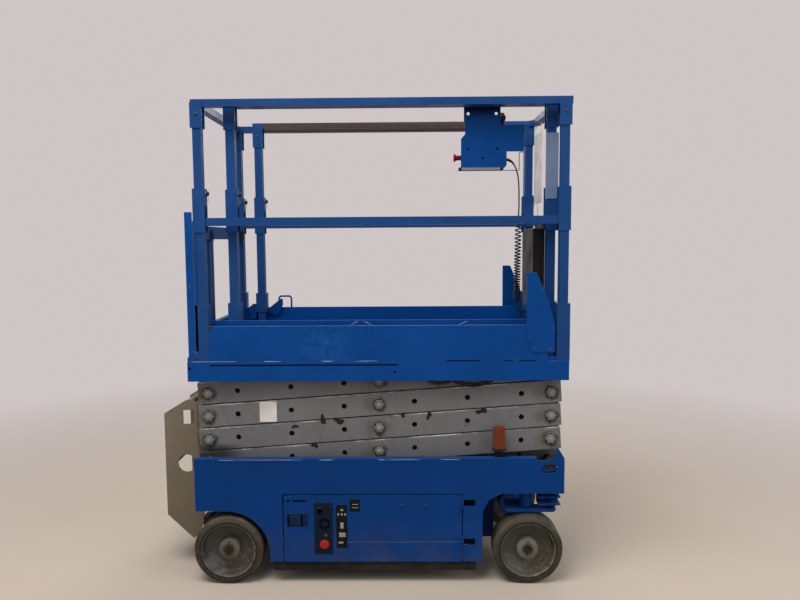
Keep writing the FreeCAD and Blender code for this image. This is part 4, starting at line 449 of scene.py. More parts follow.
def painted(name, tint, rough=0.40, wear=0.6, chips=0.4, dust=0.3, grime=0.25, under=None, low_dirt=0.0,
            scratches=0.25, mottle=0.13, extra=None, shine=0.08, top_dust_and_light=None):
    """Worn paint: patchy tone, scratches, chips to rust, edges rubbed bright, smears; top faces take dust, and a
    lit top colour given for blue paint makes them painted light with some dust.
    The function in `extra` adds a piece's own marks to the colour."""
    colours = settings()[0]
    item = Finish(name)
    tint = tuple(tint)
    broad = item.noise(2.3, 4.0, 0.6)
    base = item.mix(item.between(broad, 0.3, 0.7), scaled(tint, 1 - mottle), scaled(tint, 1 + mottle))
    base = item.mix(item.between(item.noise(31.0, 5.0, 0.65), 0.45, 0.80, 0.0, 0.30), base, scaled(tint, 1.45))
    smears = item.noise(1.0, 5.0, 0.7, item.stretched((7.0, 7.0, 3.0)))
    base = item.mix(item.between(smears, 0.54, 0.78, 0.0, grime), base, scaled(tint, 0.45))
    if extra:
        base = extra(item, base)
    if scratches:
        lines = item.noise(1.0, 2.0, 0.5, item.stretched((9.0, 60.0, 420.0), (0.0, 0.12, 0.0)))
        where = item.between(item.noise(3.1, 2.0), 0.50, 0.62)
        line = item.times(item.between(lines, 0.70, 0.74), where)
        base = item.over(base, under or scaled(tint, 2.6), line, scratches)
    if low_dirt:
        level = item.between(item.along("Z"), 0.30, 0.05)
        mask = item.times(level, item.between(item.noise(7.0, 6.0, 0.7), 0.35, 0.72))
        base = item.over(base, tuple(colours.road_dirt), mask, low_dirt)
    # Top faces take the dust colour; a lit top colour given for blue paint makes this painted light from above,
    # with some dust.
    top = item.times(item.upward(), item.between(item.noise(9.0, 5.0, 0.7), 0.30, 0.75, 0.25, 1.0))
    base = item.over(base, top_dust_and_light or tuple(colours.dust), top, dust)
    rough_out = item.between(broad, 0.3, 0.7, rough - 0.07, rough + 0.12)
    if chips:
        spots = item.noise(21.0, 4.0, 0.62)
        patchy = item.between(item.noise(4.1, 3.0), 0.52, 0.62)
        chip = item.times(item.between(spots, 0.665, 0.685), patchy)
        rusty = item.mix(item.between(item.noise(90.0), 0.4, 0.6), scaled(colours.rust, 0.45),
                         tuple(colours.rust))
        base = item.over(base, rusty, chip, chips)
        item.bump(item.times(chip, -1.0), 0.0003, 0.6)
    if wear:
        edge = item.times(item.edges(0.0028), item.between(item.noise(16.0, 6.0, 0.75), 0.38, 0.62))
        rubbed = under or scaled(tint, 2.4)
        worn = item.mix(item.between(item.noise(60.0), 0.42, 0.62), rubbed, tuple(colours.rust))
        base = item.over(base, worn, edge, wear)
    item.bump(item.noise(260.0, 2.0), 0.0002, 0.2)
    item.bump(item.noise(5.5, 2.0), 0.0016, 0.14)
    return item.done(base, rough_out, **{"Specular IOR Level": shine})


def near_point(item, x, z, reach, soft, wobble):
    """1 within a reach of a line along Y through (x, z), falling to 0 over `soft`; the edge wobbles."""
    flat = item.node("ShaderNodeVectorMath", {0: item.place, 1: (1.0, 0.0, 1.0)}, operation="MULTIPLY")
    away = item.node("ShaderNodeVectorMath", {0: flat.outputs["Vector"], 1: (x, 0.0, z)}, operation="DISTANCE")
    ragged = item.between(item.noise(28.0, 5.0, 0.65), 0.3, 0.7, -wobble, wobble)
    return item.between(item.calc("ADD", away.outputs["Value"], ragged), reach + soft, reach)


def arm_paint(level, outer=True):
    """Scissor-arm grey: dark oily rings round the pins, yellow-brown dirt beside them, cloudy patches; an outer
    arm's top edge is rubbed white in a broken line."""
    colours = settings()[0]
    spots = pin_places()[level]
    slope = np.array(spots[1] - spots[0]) / np.linalg.norm(spots[1] - spots[0])

    def marks(item, base):
        clouds = item.between(item.noise(5.0, 5.0, 0.65), 0.42, 0.72)
        base = item.over(base, (0.120, 0.123, 0.150), clouds, 0.35)
        warm = item.between(item.noise(3.4, 5.0, 0.7, item.stretched((0.6, 1.0, 1.3))), 0.50, 0.72)
        base = item.over(base, (0.165, 0.160, 0.125), warm, 0.35)
        if outer:
            across = item.node("ShaderNodeVectorMath", {0: item.place, 1: (-slope[1], 0.0, slope[0])},
                               operation="DOT_PRODUCT").outputs["Value"]
            middle = float(-slope[1] * spots[0][0] + slope[0] * spots[0][1])
            worn = item.between(across, middle + 0.0425, middle + 0.0465)
            broken = item.between(item.noise(13.0, 6.0, 0.75, item.stretched((0.35, 1.0, 1.0))), 0.47, 0.60)
            out = item.calc("ABSOLUTE", item.along("Y"))
            worn = item.times(worn, item.between(out, 0.3140, 0.3165, 0.15, 1.0))
            base = item.over(base, (0.50, 0.50, 0.46), worn, broken)
        for x, z in spots.tolist():
            stain = near_point(item, x - 0.034, z - 0.006, 0.012, 0.040, 0.022)
            base = item.over(base, (0.085, 0.070, 0.040), stain, 0.55)
            ring = near_point(item, x + 0.003, z - 0.005, 0.024, 0.014, 0.012)
            base = item.over(base, tuple(colours.grime), ring, 0.80)
        # Near black at the low rear end of the arms.
        dark_rear_end = item.times(item.between(item.along("Z"), 0.625, 0.600),
                         item.between(item.along("X"), -0.50, -0.60))
        base = item.over(base, (0.010, 0.014, 0.012), dark_rear_end, 0.85)
        # Below the chassis's top edge the arms darken: painted shade inside the chassis.
        return item.mix(item.between(item.along("Z"), 0.560, 0.520, 0.0, 0.8), base, (0.018, 0.018, 0.017))

    # One grey paint made lighter on the upper outer arms and darker on the inner arms: painted light and shade.
    tint = scaled(colours.arms, {1: 1.00, 2: 1.06, 3: 1.14, 4: 1.10}[level] if outer else 0.75)
    return painted(f"arm_paint_{level}_{'outer' if outer else 'inner'}", tint, 0.50, 0.75, 0.55, 0.30, 0.40,
                   under=(0.40, 0.40, 0.38), scratches=0.30, mottle=0.16, extra=marks, shine=0.2)


def rail_marks(item, base):
    """The far top rails, rubbed to dull brown along their rear part."""
    far = item.between(item.along("Y"), 0.245, 0.255)
    high = item.between(item.along("Z"), 2.060, 2.068)
    run = item.times(item.between(item.along("X"), -0.53, -0.49),
                     item.between(item.along("X"), 0.66, 0.50, 0.0, 0.93))
    mask = item.times(item.times(far, high), run)
    return item.mix(mask, base, item.mix(item.noise(30.0, 5.0), (0.034, 0.024, 0.017), (0.075, 0.052, 0.037)))


def toe_marks(item, base):
    """A paler blue cloud on the toe board, and rusty dirt where it meets the rear post."""
    cloud = item.times(near_point(item, -0.14, 1.075, 0.030, 0.110, 0.060),
                       item.between(item.noise(34.0, 6.0, 0.75), 0.42, 0.68))
    base = item.over(base, (0.018, 0.105, 0.300), cloud, 0.55)
    return item.mix(near_point(item, -0.640, 1.148, 0.010, 0.020, 0.014), base, (0.030, 0.018, 0.012))


def box_painted_shadow(item, base):
    """Painted shadow at the hanger's top, just under the rail: the paint darkens to near black there."""
    return item.mix(item.between(item.along("Z"), 2.045, 2.078, 0.0, 0.95), base, (0.0012, 0.0030, 0.0060))


def galvanised():
    """Zinc coat dulled by handling: faint spangle, beige-brown dirt that thickens downwards, bright edges."""
    colours = settings()[0]
    item = Finish("galvanised")
    zinc = tuple(colours.zinc)
    cells = item.node("ShaderNodeTexVoronoi", {"Vector": item.place, "Scale": 70.0}).outputs["Color"]
    spangle = item.node("ShaderNodeSeparateColor", {0: cells}).outputs[0]
    base = item.mix(spangle, scaled(zinc, 0.95), scaled(zinc, 1.05))
    base = item.mix(item.between(item.noise(4.0, 5.0, 0.6), 0.35, 0.75, 0.0, 0.35), base, (0.16, 0.125, 0.085))
    base = item.mix(item.between(item.along("Z"), 0.70, 0.15, 0.0, 0.55), base, (0.118, 0.096, 0.066))
    base = item.mix(item.between(item.noise(17.0, 5.0, 0.7), 0.60, 0.76, 0.0, 0.5), base, (0.085, 0.068, 0.045))
    worn = item.times(item.edges(0.0025), item.between(item.noise(30.0, 5.0), 0.35, 0.6))
    base = item.over(base, scaled(zinc, 1.9), worn, 0.45)
    item.bump(item.noise(420.0, 3.0), 0.00015, 0.3)
    return item.done(base, item.between(item.noise(14.0, 4.0), 0.3, 0.7, 0.50, 0.72), 0.15)


def about_axle(item):
    """The (cos t, sin t, radius) stored on a wheel's pieces, and the radius alone."""
    polar = item.node("ShaderNodeAttribute", attribute_name="polar").outputs["Vector"]
    return polar, item.node("ShaderNodeSeparateXYZ", {0: polar}).outputs["Z"]


def tyre_rubber():
    """Solid rubber scuffed grey-brown: dry dirt in patches, heavier on the tread, lighter brown towards the top,
    dark cuts.
    """
    colours = settings()[0]
    item = Finish("tyre_rubber")
    rubber = tuple(colours.rubber)
    cloudy = item.between(item.noise(24.0, 6.0, 0.7), 0.3, 0.7)
    base = item.mix(cloudy, scaled(rubber, 0.75), scaled(rubber, 1.45))
    patches = item.between(item.noise(6.5, 8.0, 0.72), 0.40, 0.66)
    base = item.over(base, scaled(colours.road_dirt, 0.62), patches, 0.50)
    high = item.between(item.along("Z"), 0.19, 0.29, 0.0, 0.45)
    base = item.mix(high, base, (0.072, 0.062, 0.044))
    grazes = item.between(item.noise(1.0, 4.0, 0.6, item.stretched((60.0, 12.0, 90.0))), 0.60, 0.74)
    base = item.over(base, scaled(colours.road_dirt, 1.0), grazes, 0.30)
    polar, reach = about_axle(item)
    around = item.node("ShaderNodeMapping", {"Vector": polar, "Scale": (9.0, 9.0, 14.0)}).outputs["Vector"]
    marks = item.between(item.noise(1.0, 3.0, 0.6, around), 0.60, 0.68)
    base = item.over(base, scaled(rubber, 0.22), marks, 0.85)
    worn = item.times(item.between(reach, 0.136, 0.147), item.between(item.noise(14.0, 5.0), 0.38, 0.60))
    base = item.over(base, (0.110, 0.097, 0.072), worn, 0.55)
    inner = item.between(reach, 0.1285, 0.1240)
    base = item.over(base, scaled(rubber, 0.30), inner, 0.8)
    crumbs = item.between(item.noise(95.0, 6.0, 0.8), 0.50, 0.66)
    base = item.over(base, (0.105, 0.090, 0.062), crumbs, 0.45)
    item.bump(item.noise(150.0, 5.0, 0.7), 0.0008, 0.7)
    item.bump(item.noise(18.0, 4.0), 0.0024, 0.40)
    return item.done(base, item.between(item.noise(30.0, 3.0), 0.3, 0.7, 0.78, 0.96))


def wheel_marks_and_reflections(item, base):
    """Marks and painted reflections on the dishes, placed by the stored (cos t, sin t, radius): darker olive high
    up, a blue-grey painted reflection at the left, a pale painted reflection of the floor at lower left, brown
    speckle at lower right, worn rim lines."""
    polar, reach = about_axle(item)
    ragged = item.between(item.noise(24.0, 5.0, 0.7), 0.3, 0.7, -0.22, 0.22)

    def lobe(x, z, low, high):
        """1 where the direction (cos t, sin t) is near (x, z)."""
        toward = item.node("ShaderNodeVectorMath", {0: polar, 1: (x, z, 0.0)}, operation="DOT_PRODUCT")
        return item.between(item.calc("ADD", toward.outputs["Value"], ragged), low, high)

    base = item.over(base, (0.020, 0.019, 0.013), lobe(0.1, 1.0, 0.1, 0.9), 0.6)
    # Painted reflections: blue-grey at the left, and the pale floor at lower left.
    base = item.over(base, (0.043, 0.047, 0.052), lobe(-0.95, -0.15, 0.5, 0.95), 0.6)
    pale = item.times(lobe(-0.70, -0.71, 0.80, 1.02), item.between(reach, 0.060, 0.080))
    base = item.over(base, (0.150, 0.150, 0.152), pale, 0.45)
    specks = item.between(item.noise(85.0, 4.0, 0.7), 0.46, 0.60)
    speckle = item.times(lobe(0.55, -0.83, 0.35, 0.9), specks)
    base = item.over(base, (0.130, 0.100, 0.070), speckle, 0.75)
    ring = item.times(item.between(reach, 0.1130, 0.1150), lobe(0.85, -0.5, 0.25, 0.8))
    worn = item.times(ring, item.between(item.noise(40.0, 4.0, 0.7), 0.42, 0.58))
    return item.over(base, (0.17, 0.16, 0.14), worn, 0.7)


def bare_steel(name, tint=(0.20, 0.19, 0.18), rough=0.45, rust=0.35, metal=0.8):
    """Dull steel with rust blooms in its hollows."""
    colours = settings()[0]
    item = Finish(name)
    base = item.mix(item.noise(60.0, 5.0), scaled(tint, 0.7), scaled(tint, 1.35))
    bloom = item.between(item.noise(22.0, 6.0, 0.7), 0.46, 0.66)
    base = item.over(base, scaled(colours.rust, 1.2), bloom, rust)
    item.bump(item.noise(300.0, 3.0), 0.0002, 0.35)
    return item.done(base, item.between(bloom, 0.0, 1.0, rough, 0.85), metal)


def plastic(name, tint, rough=0.5, grain=0.25, dust=0.25, shine=0.18):
    """Moulded plastic: fine grain, handling shine in patches and some dust on top."""
    colours = settings()[0]
    item = Finish(name)
    base = item.mix(item.between(item.noise(12.0, 4.0), 0.3, 0.7), scaled(tint, 0.85), scaled(tint, 1.2))
    base = item.over(base, scaled(colours.dust, 0.8), item.upward(), dust)
    item.bump(item.noise(700.0, 2.0), 0.0001, grain)
    return item.done(base, item.between(item.noise(10.0, 3.0), 0.3, 0.7, rough - 0.08, rough + 0.12),
                     **{"Specular IOR Level": shine})


def build_finishes():
    """Every finish by name. The plain numbers are, for painted: rough, wear, chips, dust and grime; for
    bare_steel: rough, rust and metal; for plastic: rough, grain, dust and shine."""
    colours = settings()[0]
    blue, low, rails = (tuple(tint) for tint in (colours.blue, colours.blue_low, colours.rails))
    made = {f"arms_{level}": arm_paint(level) for level in LEVELS}
    made.update({f"inner_{level}": arm_paint(level, False) for level in LEVELS})
    made.update({
        "blue": painted("blue_paint", blue, 0.36, 0.75, 0.40, 0.45, 0.20, top_dust_and_light=PALE_DUSTY_TOP_LIGHT),
        "toe": painted("toe_board_paint", blue, 0.36, 0.75, 0.40, 0.75, 0.20, extra=toe_marks,
                       top_dust_and_light=PALE_DUSTY_TOP_LIGHT),
        "box": painted("box_paint", blue, 0.36, 0.60, 0.0, 0.30, 0.20, extra=box_painted_shadow, top_dust_and_light=PALE_DUSTY_TOP_LIGHT),
        # The platform's blue darkened for the chassis and doors: painted shade.
        "blue_low": painted("blue_paint_low", low, 0.42, 0.70, 0.45, 0.45, 0.25, low_dirt=0.40,
                            top_dust_and_light=BLUE_DUSTY_TOP_LIGHT),
        # The guards' near-black blue is painted shade: they hang in the shadow under the doors.
        "guard": painted("guard_paint", (0.0045, 0.0080, 0.0105), 0.55, 0.50, 0.45, 0.16, 0.25,
                         low_dirt=0.35),
        # The crease's pale blue-grey is a painted highlight along the fold, worn to beige in places.
        "crease": painted("door_crease", (0.030, 0.062, 0.100), 0.5, 0.9, 0.3, 0.2, 0.3,
                          under=(0.24, 0.24, 0.15)),
        "latch": painted("door_latch", (0.0030, 0.0150, 0.0460), 0.45, 0.4, 0.2, 0.2, 0.3),
        "rail": painted("blue_rails", rails, 0.40, 0.55, 0.45, 0.25, 0.25, extra=rail_marks,
                        top_dust_and_light=PALE_DUSTY_TOP_LIGHT),
        "nut": painted("nut_paint", scaled(colours.arms, 1.20), 0.5, 0.8, 0.0, 0.2, 0.6,
                       under=(0.36, 0.36, 0.34), scratches=0.0, mottle=0.3),
        "stud": bare_steel("stud_steel", (0.225, 0.218, 0.200), 0.5, 0.25, 0.2),
        "zinc": galvanised(),
        "tyre": tyre_rubber(),
        "rim": painted("wheel_paint", tuple(colours.rim), 0.42, 0.35, 0.30, 0.15, 0.5, scratches=0.0,
                       mottle=0.35, extra=wheel_marks_and_reflections, shine=0.45),
        "hub": painted("hub_paint", (0.120, 0.110, 0.086), 0.60, 0.5, 0.5, 0.1, 0.7, scratches=0.0,
                       mottle=0.35),
        "steel": bare_steel("dull_steel"),
        "bolt": bare_steel("bolt_steel", (0.050, 0.056, 0.066), 0.55, 0.25, 0.2),
        "dark": bare_steel("dark_steel", (0.018, 0.017, 0.015), 0.65, 0.30, 0.1),
        # Near black: the screws' and socket's own colour, and painted shade in slots, holes and door recesses.
        "ink": plastic("black_recess", (0.0022, 0.0028, 0.0040), 0.9, 0.05, 0.0, 0.02),
        "scuff": bare_steel("scuffed_edge", (0.28, 0.33, 0.40), 0.6, 0.05, 0.0),
        "blank": plastic("blank_label", (0.230, 0.235, 0.170), 0.6, 0.1, 0.0),
        "foot": painted("foot_plate", (0.185, 0.178, 0.212), 0.5, 0.6, 0.2, 0.2, 0.3,
                        under=(0.45, 0.45, 0.46)),
        "chrome": bare_steel("chrome_rod", (0.62, 0.62, 0.64), 0.13, 0.04, 1.0),
        "black": plastic("black_plastic", tuple(colours.black), 0.50),
        "panel": painted("dark_panel", (0.0035, 0.0105, 0.021), 0.45, 0.5, 0.3, 0.15, 0.3),
        "strip": painted("door_strip", (0.0040, 0.0060, 0.0085), 0.5, 0.4, 0.4, 0.15, 0.3),
        "black_paint": painted("black_paint", (0.009, 0.0095, 0.010), 0.45, 0.55, 0.5, 0.3, 0.4),
        "red": plastic("red_plastic", tuple(colours.red), 0.38, 0.12, 0.1),
        "collar": plastic("brown_collar", (0.020, 0.010, 0.008), 0.5, 0.1, 0.1),
        "amber": amber_lens(),
        "white": plastic("white_board", tuple(colours.white), 0.55, 0.2, 0.1),
        # Blue paint lightened by a painted reflection of glare.
        "faded": painted("faded_plate", tuple(colours.faded), 0.55, 0.4, 0.4, 0.2, 0.5),
        "flake": bare_steel("dried_dirt", (0.015, 0.012, 0.009), 0.9, 0.1, 0.0),
        # Near-black plates that stand for painted shade in the front well and the door notches.
        "well": painted("well_floor", (0.006, 0.014, 0.014), 0.6, 0.3, 0.3, 0.1, 0.4),
        "hose": plastic("olive_hose", (0.052, 0.047, 0.019), 0.6, 0.2, 0.1),
        "cord": plastic("cord_rubber", scaled(colours.black, 1.1), 0.42, 0.2, 0.05),
    })
    return made


def amber_lens():
    """Amber plastic of mottled depth, with dust in patches."""
    colours = settings()[0]
    item = Finish("amber_lens")
    tint = tuple(colours.amber)
    base = item.mix(item.noise(40.0, 4.0), scaled(tint, 0.75), scaled(tint, 1.25))
    base = item.mix(item.between(item.noise(16.0, 5.0), 0.4, 0.75, 0.0, 0.20), base, scaled(colours.dust, 0.5))
    return item.done(base, item.between(item.noise(25.0), 0.3, 0.7, 0.22, 0.42))


FINISH = {}
NODE_FINISHES = {
    "blue_low": ("chassis_frame", "tray_door_near", "tray_door_far", "yoke_near", "yoke_far", "lower_tracks",
                 "deck_latch"),
    "guard": ("guard_near", "guard_far"),
    "blue": ("platform_frame", "gussets", "rollout_deck"),
    "toe": ("toe_boards",),
    "box": ("control_box",),
    "rail": ("main_lower_rails", "entry_gate", "main_rear_posts", "main_front_post_near",
             "main_front_post_far", "main_top_rail", "rollout_rails"),
    "zinc": ("ladder",),
    "foot": ("control_box_foot",),
    "steel": ("main_lock_pins", "rollout_lock_pins", "upper_rollers"),
    "dark": ("tie_rod", "lower_rollers"),
    "chrome": ("lift_rod",),
    "black": ("battery_pack", "manual_box", "control_stick", "cord_socket"),
    "black_paint": ("power_unit", "lift_barrel"),
    "panel": ("ground_panel",),
    "red": ("ground_stop", "control_stop"),
    "amber": ("beacons",),
    "white": ("sign_board",),
    "faded": ("post_plate",),
}
ARMS = tuple(f"{kind}_arms_{level}" for kind in ("outer", "inner") for level in LEVELS)
NODE_FINISHES.update({f"arms_{level}": (f"outer_arms_{level}",) for level in LEVELS})
NODE_FINISHES.update({f"inner_{level}": (f"inner_arms_{level}",) for level in LEVELS})
ROUNDED = ("chassis_frame", "tray_door_near", "tray_door_far", "platform_frame", "toe_boards", "gussets",
           "main_lower_rails", "main_rear_posts", "main_front_post_near", "main_front_post_far", "main_top_rail",
           "entry_gate", "rollout_deck", "rollout_rails", "ladder", "control_box", "control_box_foot",
           "ground_panel", "sign_board", "post_plate", "manual_box", "guard_near", "guard_far", "power_unit",
           "battery_pack", "yoke_near", "yoke_far") + ARMS


def middle_of(node):
    """Middle of a node's box."""
    low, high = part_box(node)
    return (np.array(low) + np.array(high)) / 2


class LIFT_OT_stage(bpy.types.Operator):
    """Makes the floor, the lamps, the world and the camera"""
    bl_idname = "lift.stage"
    bl_label = "Stage"

    def execute(self, context):
        stage = context.scene.lift_stage
        context.scene.view_settings.view_transform = "Standard"
        ring = np.arange(96) * TAU / 96
        radius = np.array([0.02, 1.0, 2.5, 6.0, 14.0])[:, None]
        disc = np.stack([radius * np.cos(ring), radius * np.sin(ring), np.zeros((5, 96))], axis=-1)
        mesh = bpy.data.meshes.new("floor")
        faces = grid_faces(5, 96).tolist() + [list(range(95, -1, -1))]
        mesh.from_pydata(disc.reshape(-1, 3).tolist(), [], faces)
        floor = bpy.data.objects.new("floor", mesh)
        context.scene.collection.objects.link(floor)
        mesh.materials.append(self.floor_finish(stage))
        self.world(context, stage)
        self.lamp(context, "key", (-0.9, -1.9, 4.6), (0.1, -0.1, 0.9), 2.4, stage.key)
        self.lamp(context, "side", (3.6, -2.4, 2.6), (0.0, 0.0, 0.8), 2.2, stage.key * 0.28)
        self.lamp(context, "back", (0.6, 3.2, 3.6), (0.0, 0.0, 0.9), 2.4, stage.key * 0.38)
        self.camera(context, stage)
        return {"FINISHED"}

    def floor_finish(self, stage):
        """Pale matt floor that fades into the background past the shadow."""
        item = Finish("studio_floor")
        flat = item.node("ShaderNodeVectorMath", {0: item.place}, operation="LENGTH").outputs["Value"]
        fade = item.between(flat, 1.7, 4.6)
        base = item.mix(item.noise(1.6, 5.0), scaled(stage.floor, 0.97), scaled(stage.floor, 1.03))
        item.done(base, 0.9)
        seen = item.node("ShaderNodeEmission", {"Color": tuple(stage.backdrop)})
        path = item.node("ShaderNodeLightPath")
        views = item.calc("MAXIMUM", path.outputs["Is Camera Ray"], path.outputs["Is Glossy Ray"])
        mixed = item.node("ShaderNodeMixShader", {0: item.times(views, fade),
                                                  1: item.shader.outputs[0], 2: seen.outputs[0]})
        item.links.new(mixed.outputs[0], item.output.inputs["Surface"])
        return item.material

    def world(self, context, stage):
        """Even light from all round; what the camera sees of it is the pale background."""
        world = bpy.data.worlds.new("studio")
        context.scene.world = world
        world.use_nodes = True
        nodes, links = world.node_tree.nodes, world.node_tree.links
        light = nodes["Background"]
        light.inputs["Color"].default_value = (1.0, 0.97, 0.94, 1.0)
        light.inputs["Strength"].default_value = stage.world
        seen = nodes.new("ShaderNodeBackground")
        seen.inputs["Color"].default_value = (*stage.backdrop, 1.0)
        path = nodes.new("ShaderNodeLightPath")
        views = nodes.new("ShaderNodeMath")
        views.operation = "MAXIMUM"
        mixed = nodes.new("ShaderNodeMixShader")
        links.new(path.outputs["Is Camera Ray"], views.inputs[0])
        links.new(path.outputs["Is Glossy Ray"], views.inputs[1])
        links.new(views.outputs[0], mixed.inputs[0])
        links.new(light.outputs[0], mixed.inputs[1])
        links.new(seen.outputs[0], mixed.inputs[2])
        links.new(mixed.outputs[0], nodes["World Output"].inputs["Surface"])

    def lamp(self, context, name, place, target, size, power):
        """A square soft lamp at a place, turned to a target."""
        data = bpy.data.lights.new(name, "AREA")
        data.energy, data.size, data.color = power, size, (1.0, 0.965, 0.92)
        obj = bpy.data.objects.new(name, data)
        way = Vector(target) - Vector(place)
        obj.matrix_world = Matrix.Translation(place) @ way.to_track_quat("-Z", "Y").to_matrix().to_4x4()
        context.scene.collection.objects.link(obj)

    def camera(self, context, stage):
        """The camera from its place, yaw, pitch and roll."""
        yaw, pitch, roll = stage.yaw, stage.pitch, stage.roll
        level = Vector((-math.sin(yaw), math.cos(yaw), 0.0))
        right = Vector((math.cos(yaw), math.sin(yaw), 0.0))
        forward = level * math.cos(pitch) - Vector((0, 0, math.sin(pitch)))
        up = right.cross(forward)
        right, up = (right * math.cos(roll) - up * math.sin(roll), up * math.cos(roll) + right * math.sin(roll))
        data = bpy.data.cameras.new("camera")
        data.lens, data.sensor_width, data.clip_start = stage.lens, 36.0, 0.05
        obj = bpy.data.objects.new("camera", data)
        turn = Matrix((right, up, -forward)).transposed().to_4x4()
        obj.matrix_world = Matrix.Translation(stage.camera_place) @ turn
        context.scene.collection.objects.link(obj)
        context.scene.camera = obj


class LIFT_OT_cord(bpy.types.Operator):
    """Makes the curly control cord and its strain relief"""
    bl_idname = "lift.cord"
    bl_label = "Control cord"

    def execute(self, context):
        sizes = context.scene.lift_sizes
        finish = FINISH["cord"]
        helix = self.helix(sizes)
        route = np.concatenate([np.array(CORD_UPPER[:-1]), helix, np.array(CORD_LOWER[1:])])
        curve = self.spline("control_cord", route)
        curve.bevel_depth, curve.bevel_resolution, curve.use_fill_caps = sizes.cord / 2, 4, True
        curve.materials.append(finish)
        cord = bpy.data.objects.new("control_cord", curve)
        context.scene.collection.objects.link(cord)
        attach(cord, "rollout")
        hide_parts("cord_upper", "cord_coil", "cord_lower")
        line = self.followed(route)
        relief = self.strain_relief(sizes)
        return {"FINISHED"}

    def spline(self, name, points):
        """A smooth curve with the points as its control points."""
        curve = bpy.data.curves.new(name, "CURVE")
        curve.dimensions = "3D"
        line = curve.splines.new("NURBS")
        line.points.add(len(points) - 1)
        line.points.foreach_set("co", np.column_stack([points, np.ones(len(points))]).reshape(-1))
        line.order_u = 3
        line.use_endpoint_u = True
        line.resolution_u = 6
        return curve

    def followed(self, points):
        """Points read from the smooth line of a route."""
        curve = self.spline("route", np.asarray(points))
        obj = bpy.data.objects.new("route", curve)
        bpy.context.scene.collection.objects.link(obj)
        mesh = bpy.data.meshes.new_from_object(obj)
        line = np.empty(len(mesh.vertices) * 3)
        mesh.vertices.foreach_get("co", line)
        bpy.data.objects.remove(obj)
        bpy.data.meshes.remove(mesh)
        bpy.data.curves.remove(curve)
        return line.reshape(-1, 3)

    def helix(self, sizes):
        """The coil's turns: along its middle line by s, the angle is the sum of TAU / pitch(s), and the point
        stands off the line by the coil's radius, which grows from nothing over the first and last half turn."""
        middle = self.followed(CORD_COIL)
        step = np.linalg.norm(np.diff(middle, axis=0), axis=1)
        run = np.concatenate([[0.0], np.cumsum(step)])
        fine = np.linspace(0.0, run[-1], 4000)
        share = fine / run[-1]
        pitch = sizes.pitch_low + (sizes.pitch_top - sizes.pitch_low) * (1 - share) ** 1.25
        angle = np.concatenate([[0.0], np.cumsum(TAU / pitch[:-1] * np.diff(fine))])
        count = int(angle[-1] / TAU * 14)
        even = np.linspace(0.0, angle[-1], count)
        at = np.interp(even, angle, fine)
        centre = np.stack([np.interp(at, run, middle[:, axis]) for axis in range(3)], axis=-1)
        reach = sizes.coil * np.clip(np.minimum(even, angle[-1] - even) / (TAU * 0.5), 0.0, 1.0)
        reach *= 1.0 + 0.05 * np.sin(even * 0.37)
        return centre + np.stack([reach * np.cos(even), reach * np.sin(even), np.zeros(count)], axis=-1)

    def strain_relief(self, sizes):
        """Tapered sleeve at the box: its radius falls from 7.2 to 3.6 mm over its length, with seven rings
        cut round it."""
        long, thick, fall, cut = 0.038, 0.0072, 0.0036, 0.0006
        line = self.followed(CORD_UPPER)
        run = np.concatenate([[0.0], np.cumsum(np.linalg.norm(np.diff(line, axis=0), axis=1))])
        at = np.linspace(0.0, long, 44)
        path = np.stack([np.interp(at, run, line[:, axis]) for axis in range(3)], axis=-1)
        taper = thick - fall * at / long
        taper = taper - cut * (np.sin(at / long * TAU * 7) > 0.35)
        return piece("strain_relief", tube(path, taper, 20, (0.0, 1.0, 0.0)), FINISH["black"], "rollout",
                     smooth=50)


class LIFT_OT_finishes(bpy.types.Operator):
    """Gives every solid its finish and softens the edges of the steelwork"""
    bl_idname = "lift.finishes"
    bl_label = "Finishes"

    def execute(self, context):
        nodes = frame["nodes"]
        for finish, names in NODE_FINISHES.items():
            for name in names:
                mesh = nodes[name].data
                mesh.materials.clear()
                mesh.materials.append(FINISH[finish])
        for name in ROUNDED:
            self.round_edges(nodes[name], context.scene.lift_sizes.edge)
        return {"FINISHED"}

    def round_edges(self, obj, width):
        """Merges the loose triangles, joins flat ones into whole faces, and rounds the edges between them."""
        weld = obj.modifiers.new("Weld", "WELD")
        weld.merge_threshold = 1e-5
        flat = obj.modifiers.new("Whole faces", "DECIMATE")
        flat.decimate_type, flat.angle_limit = "DISSOLVE", math.radians(1.0)
        bevel = obj.modifiers.new("Edges", "BEVEL")
        bevel.width, bevel.segments, bevel.limit_method = width, 2, "ANGLE"
        bevel.angle_limit = math.radians(40)
        bevel.use_clamp_overlap = True
        bevel.harden_normals = True


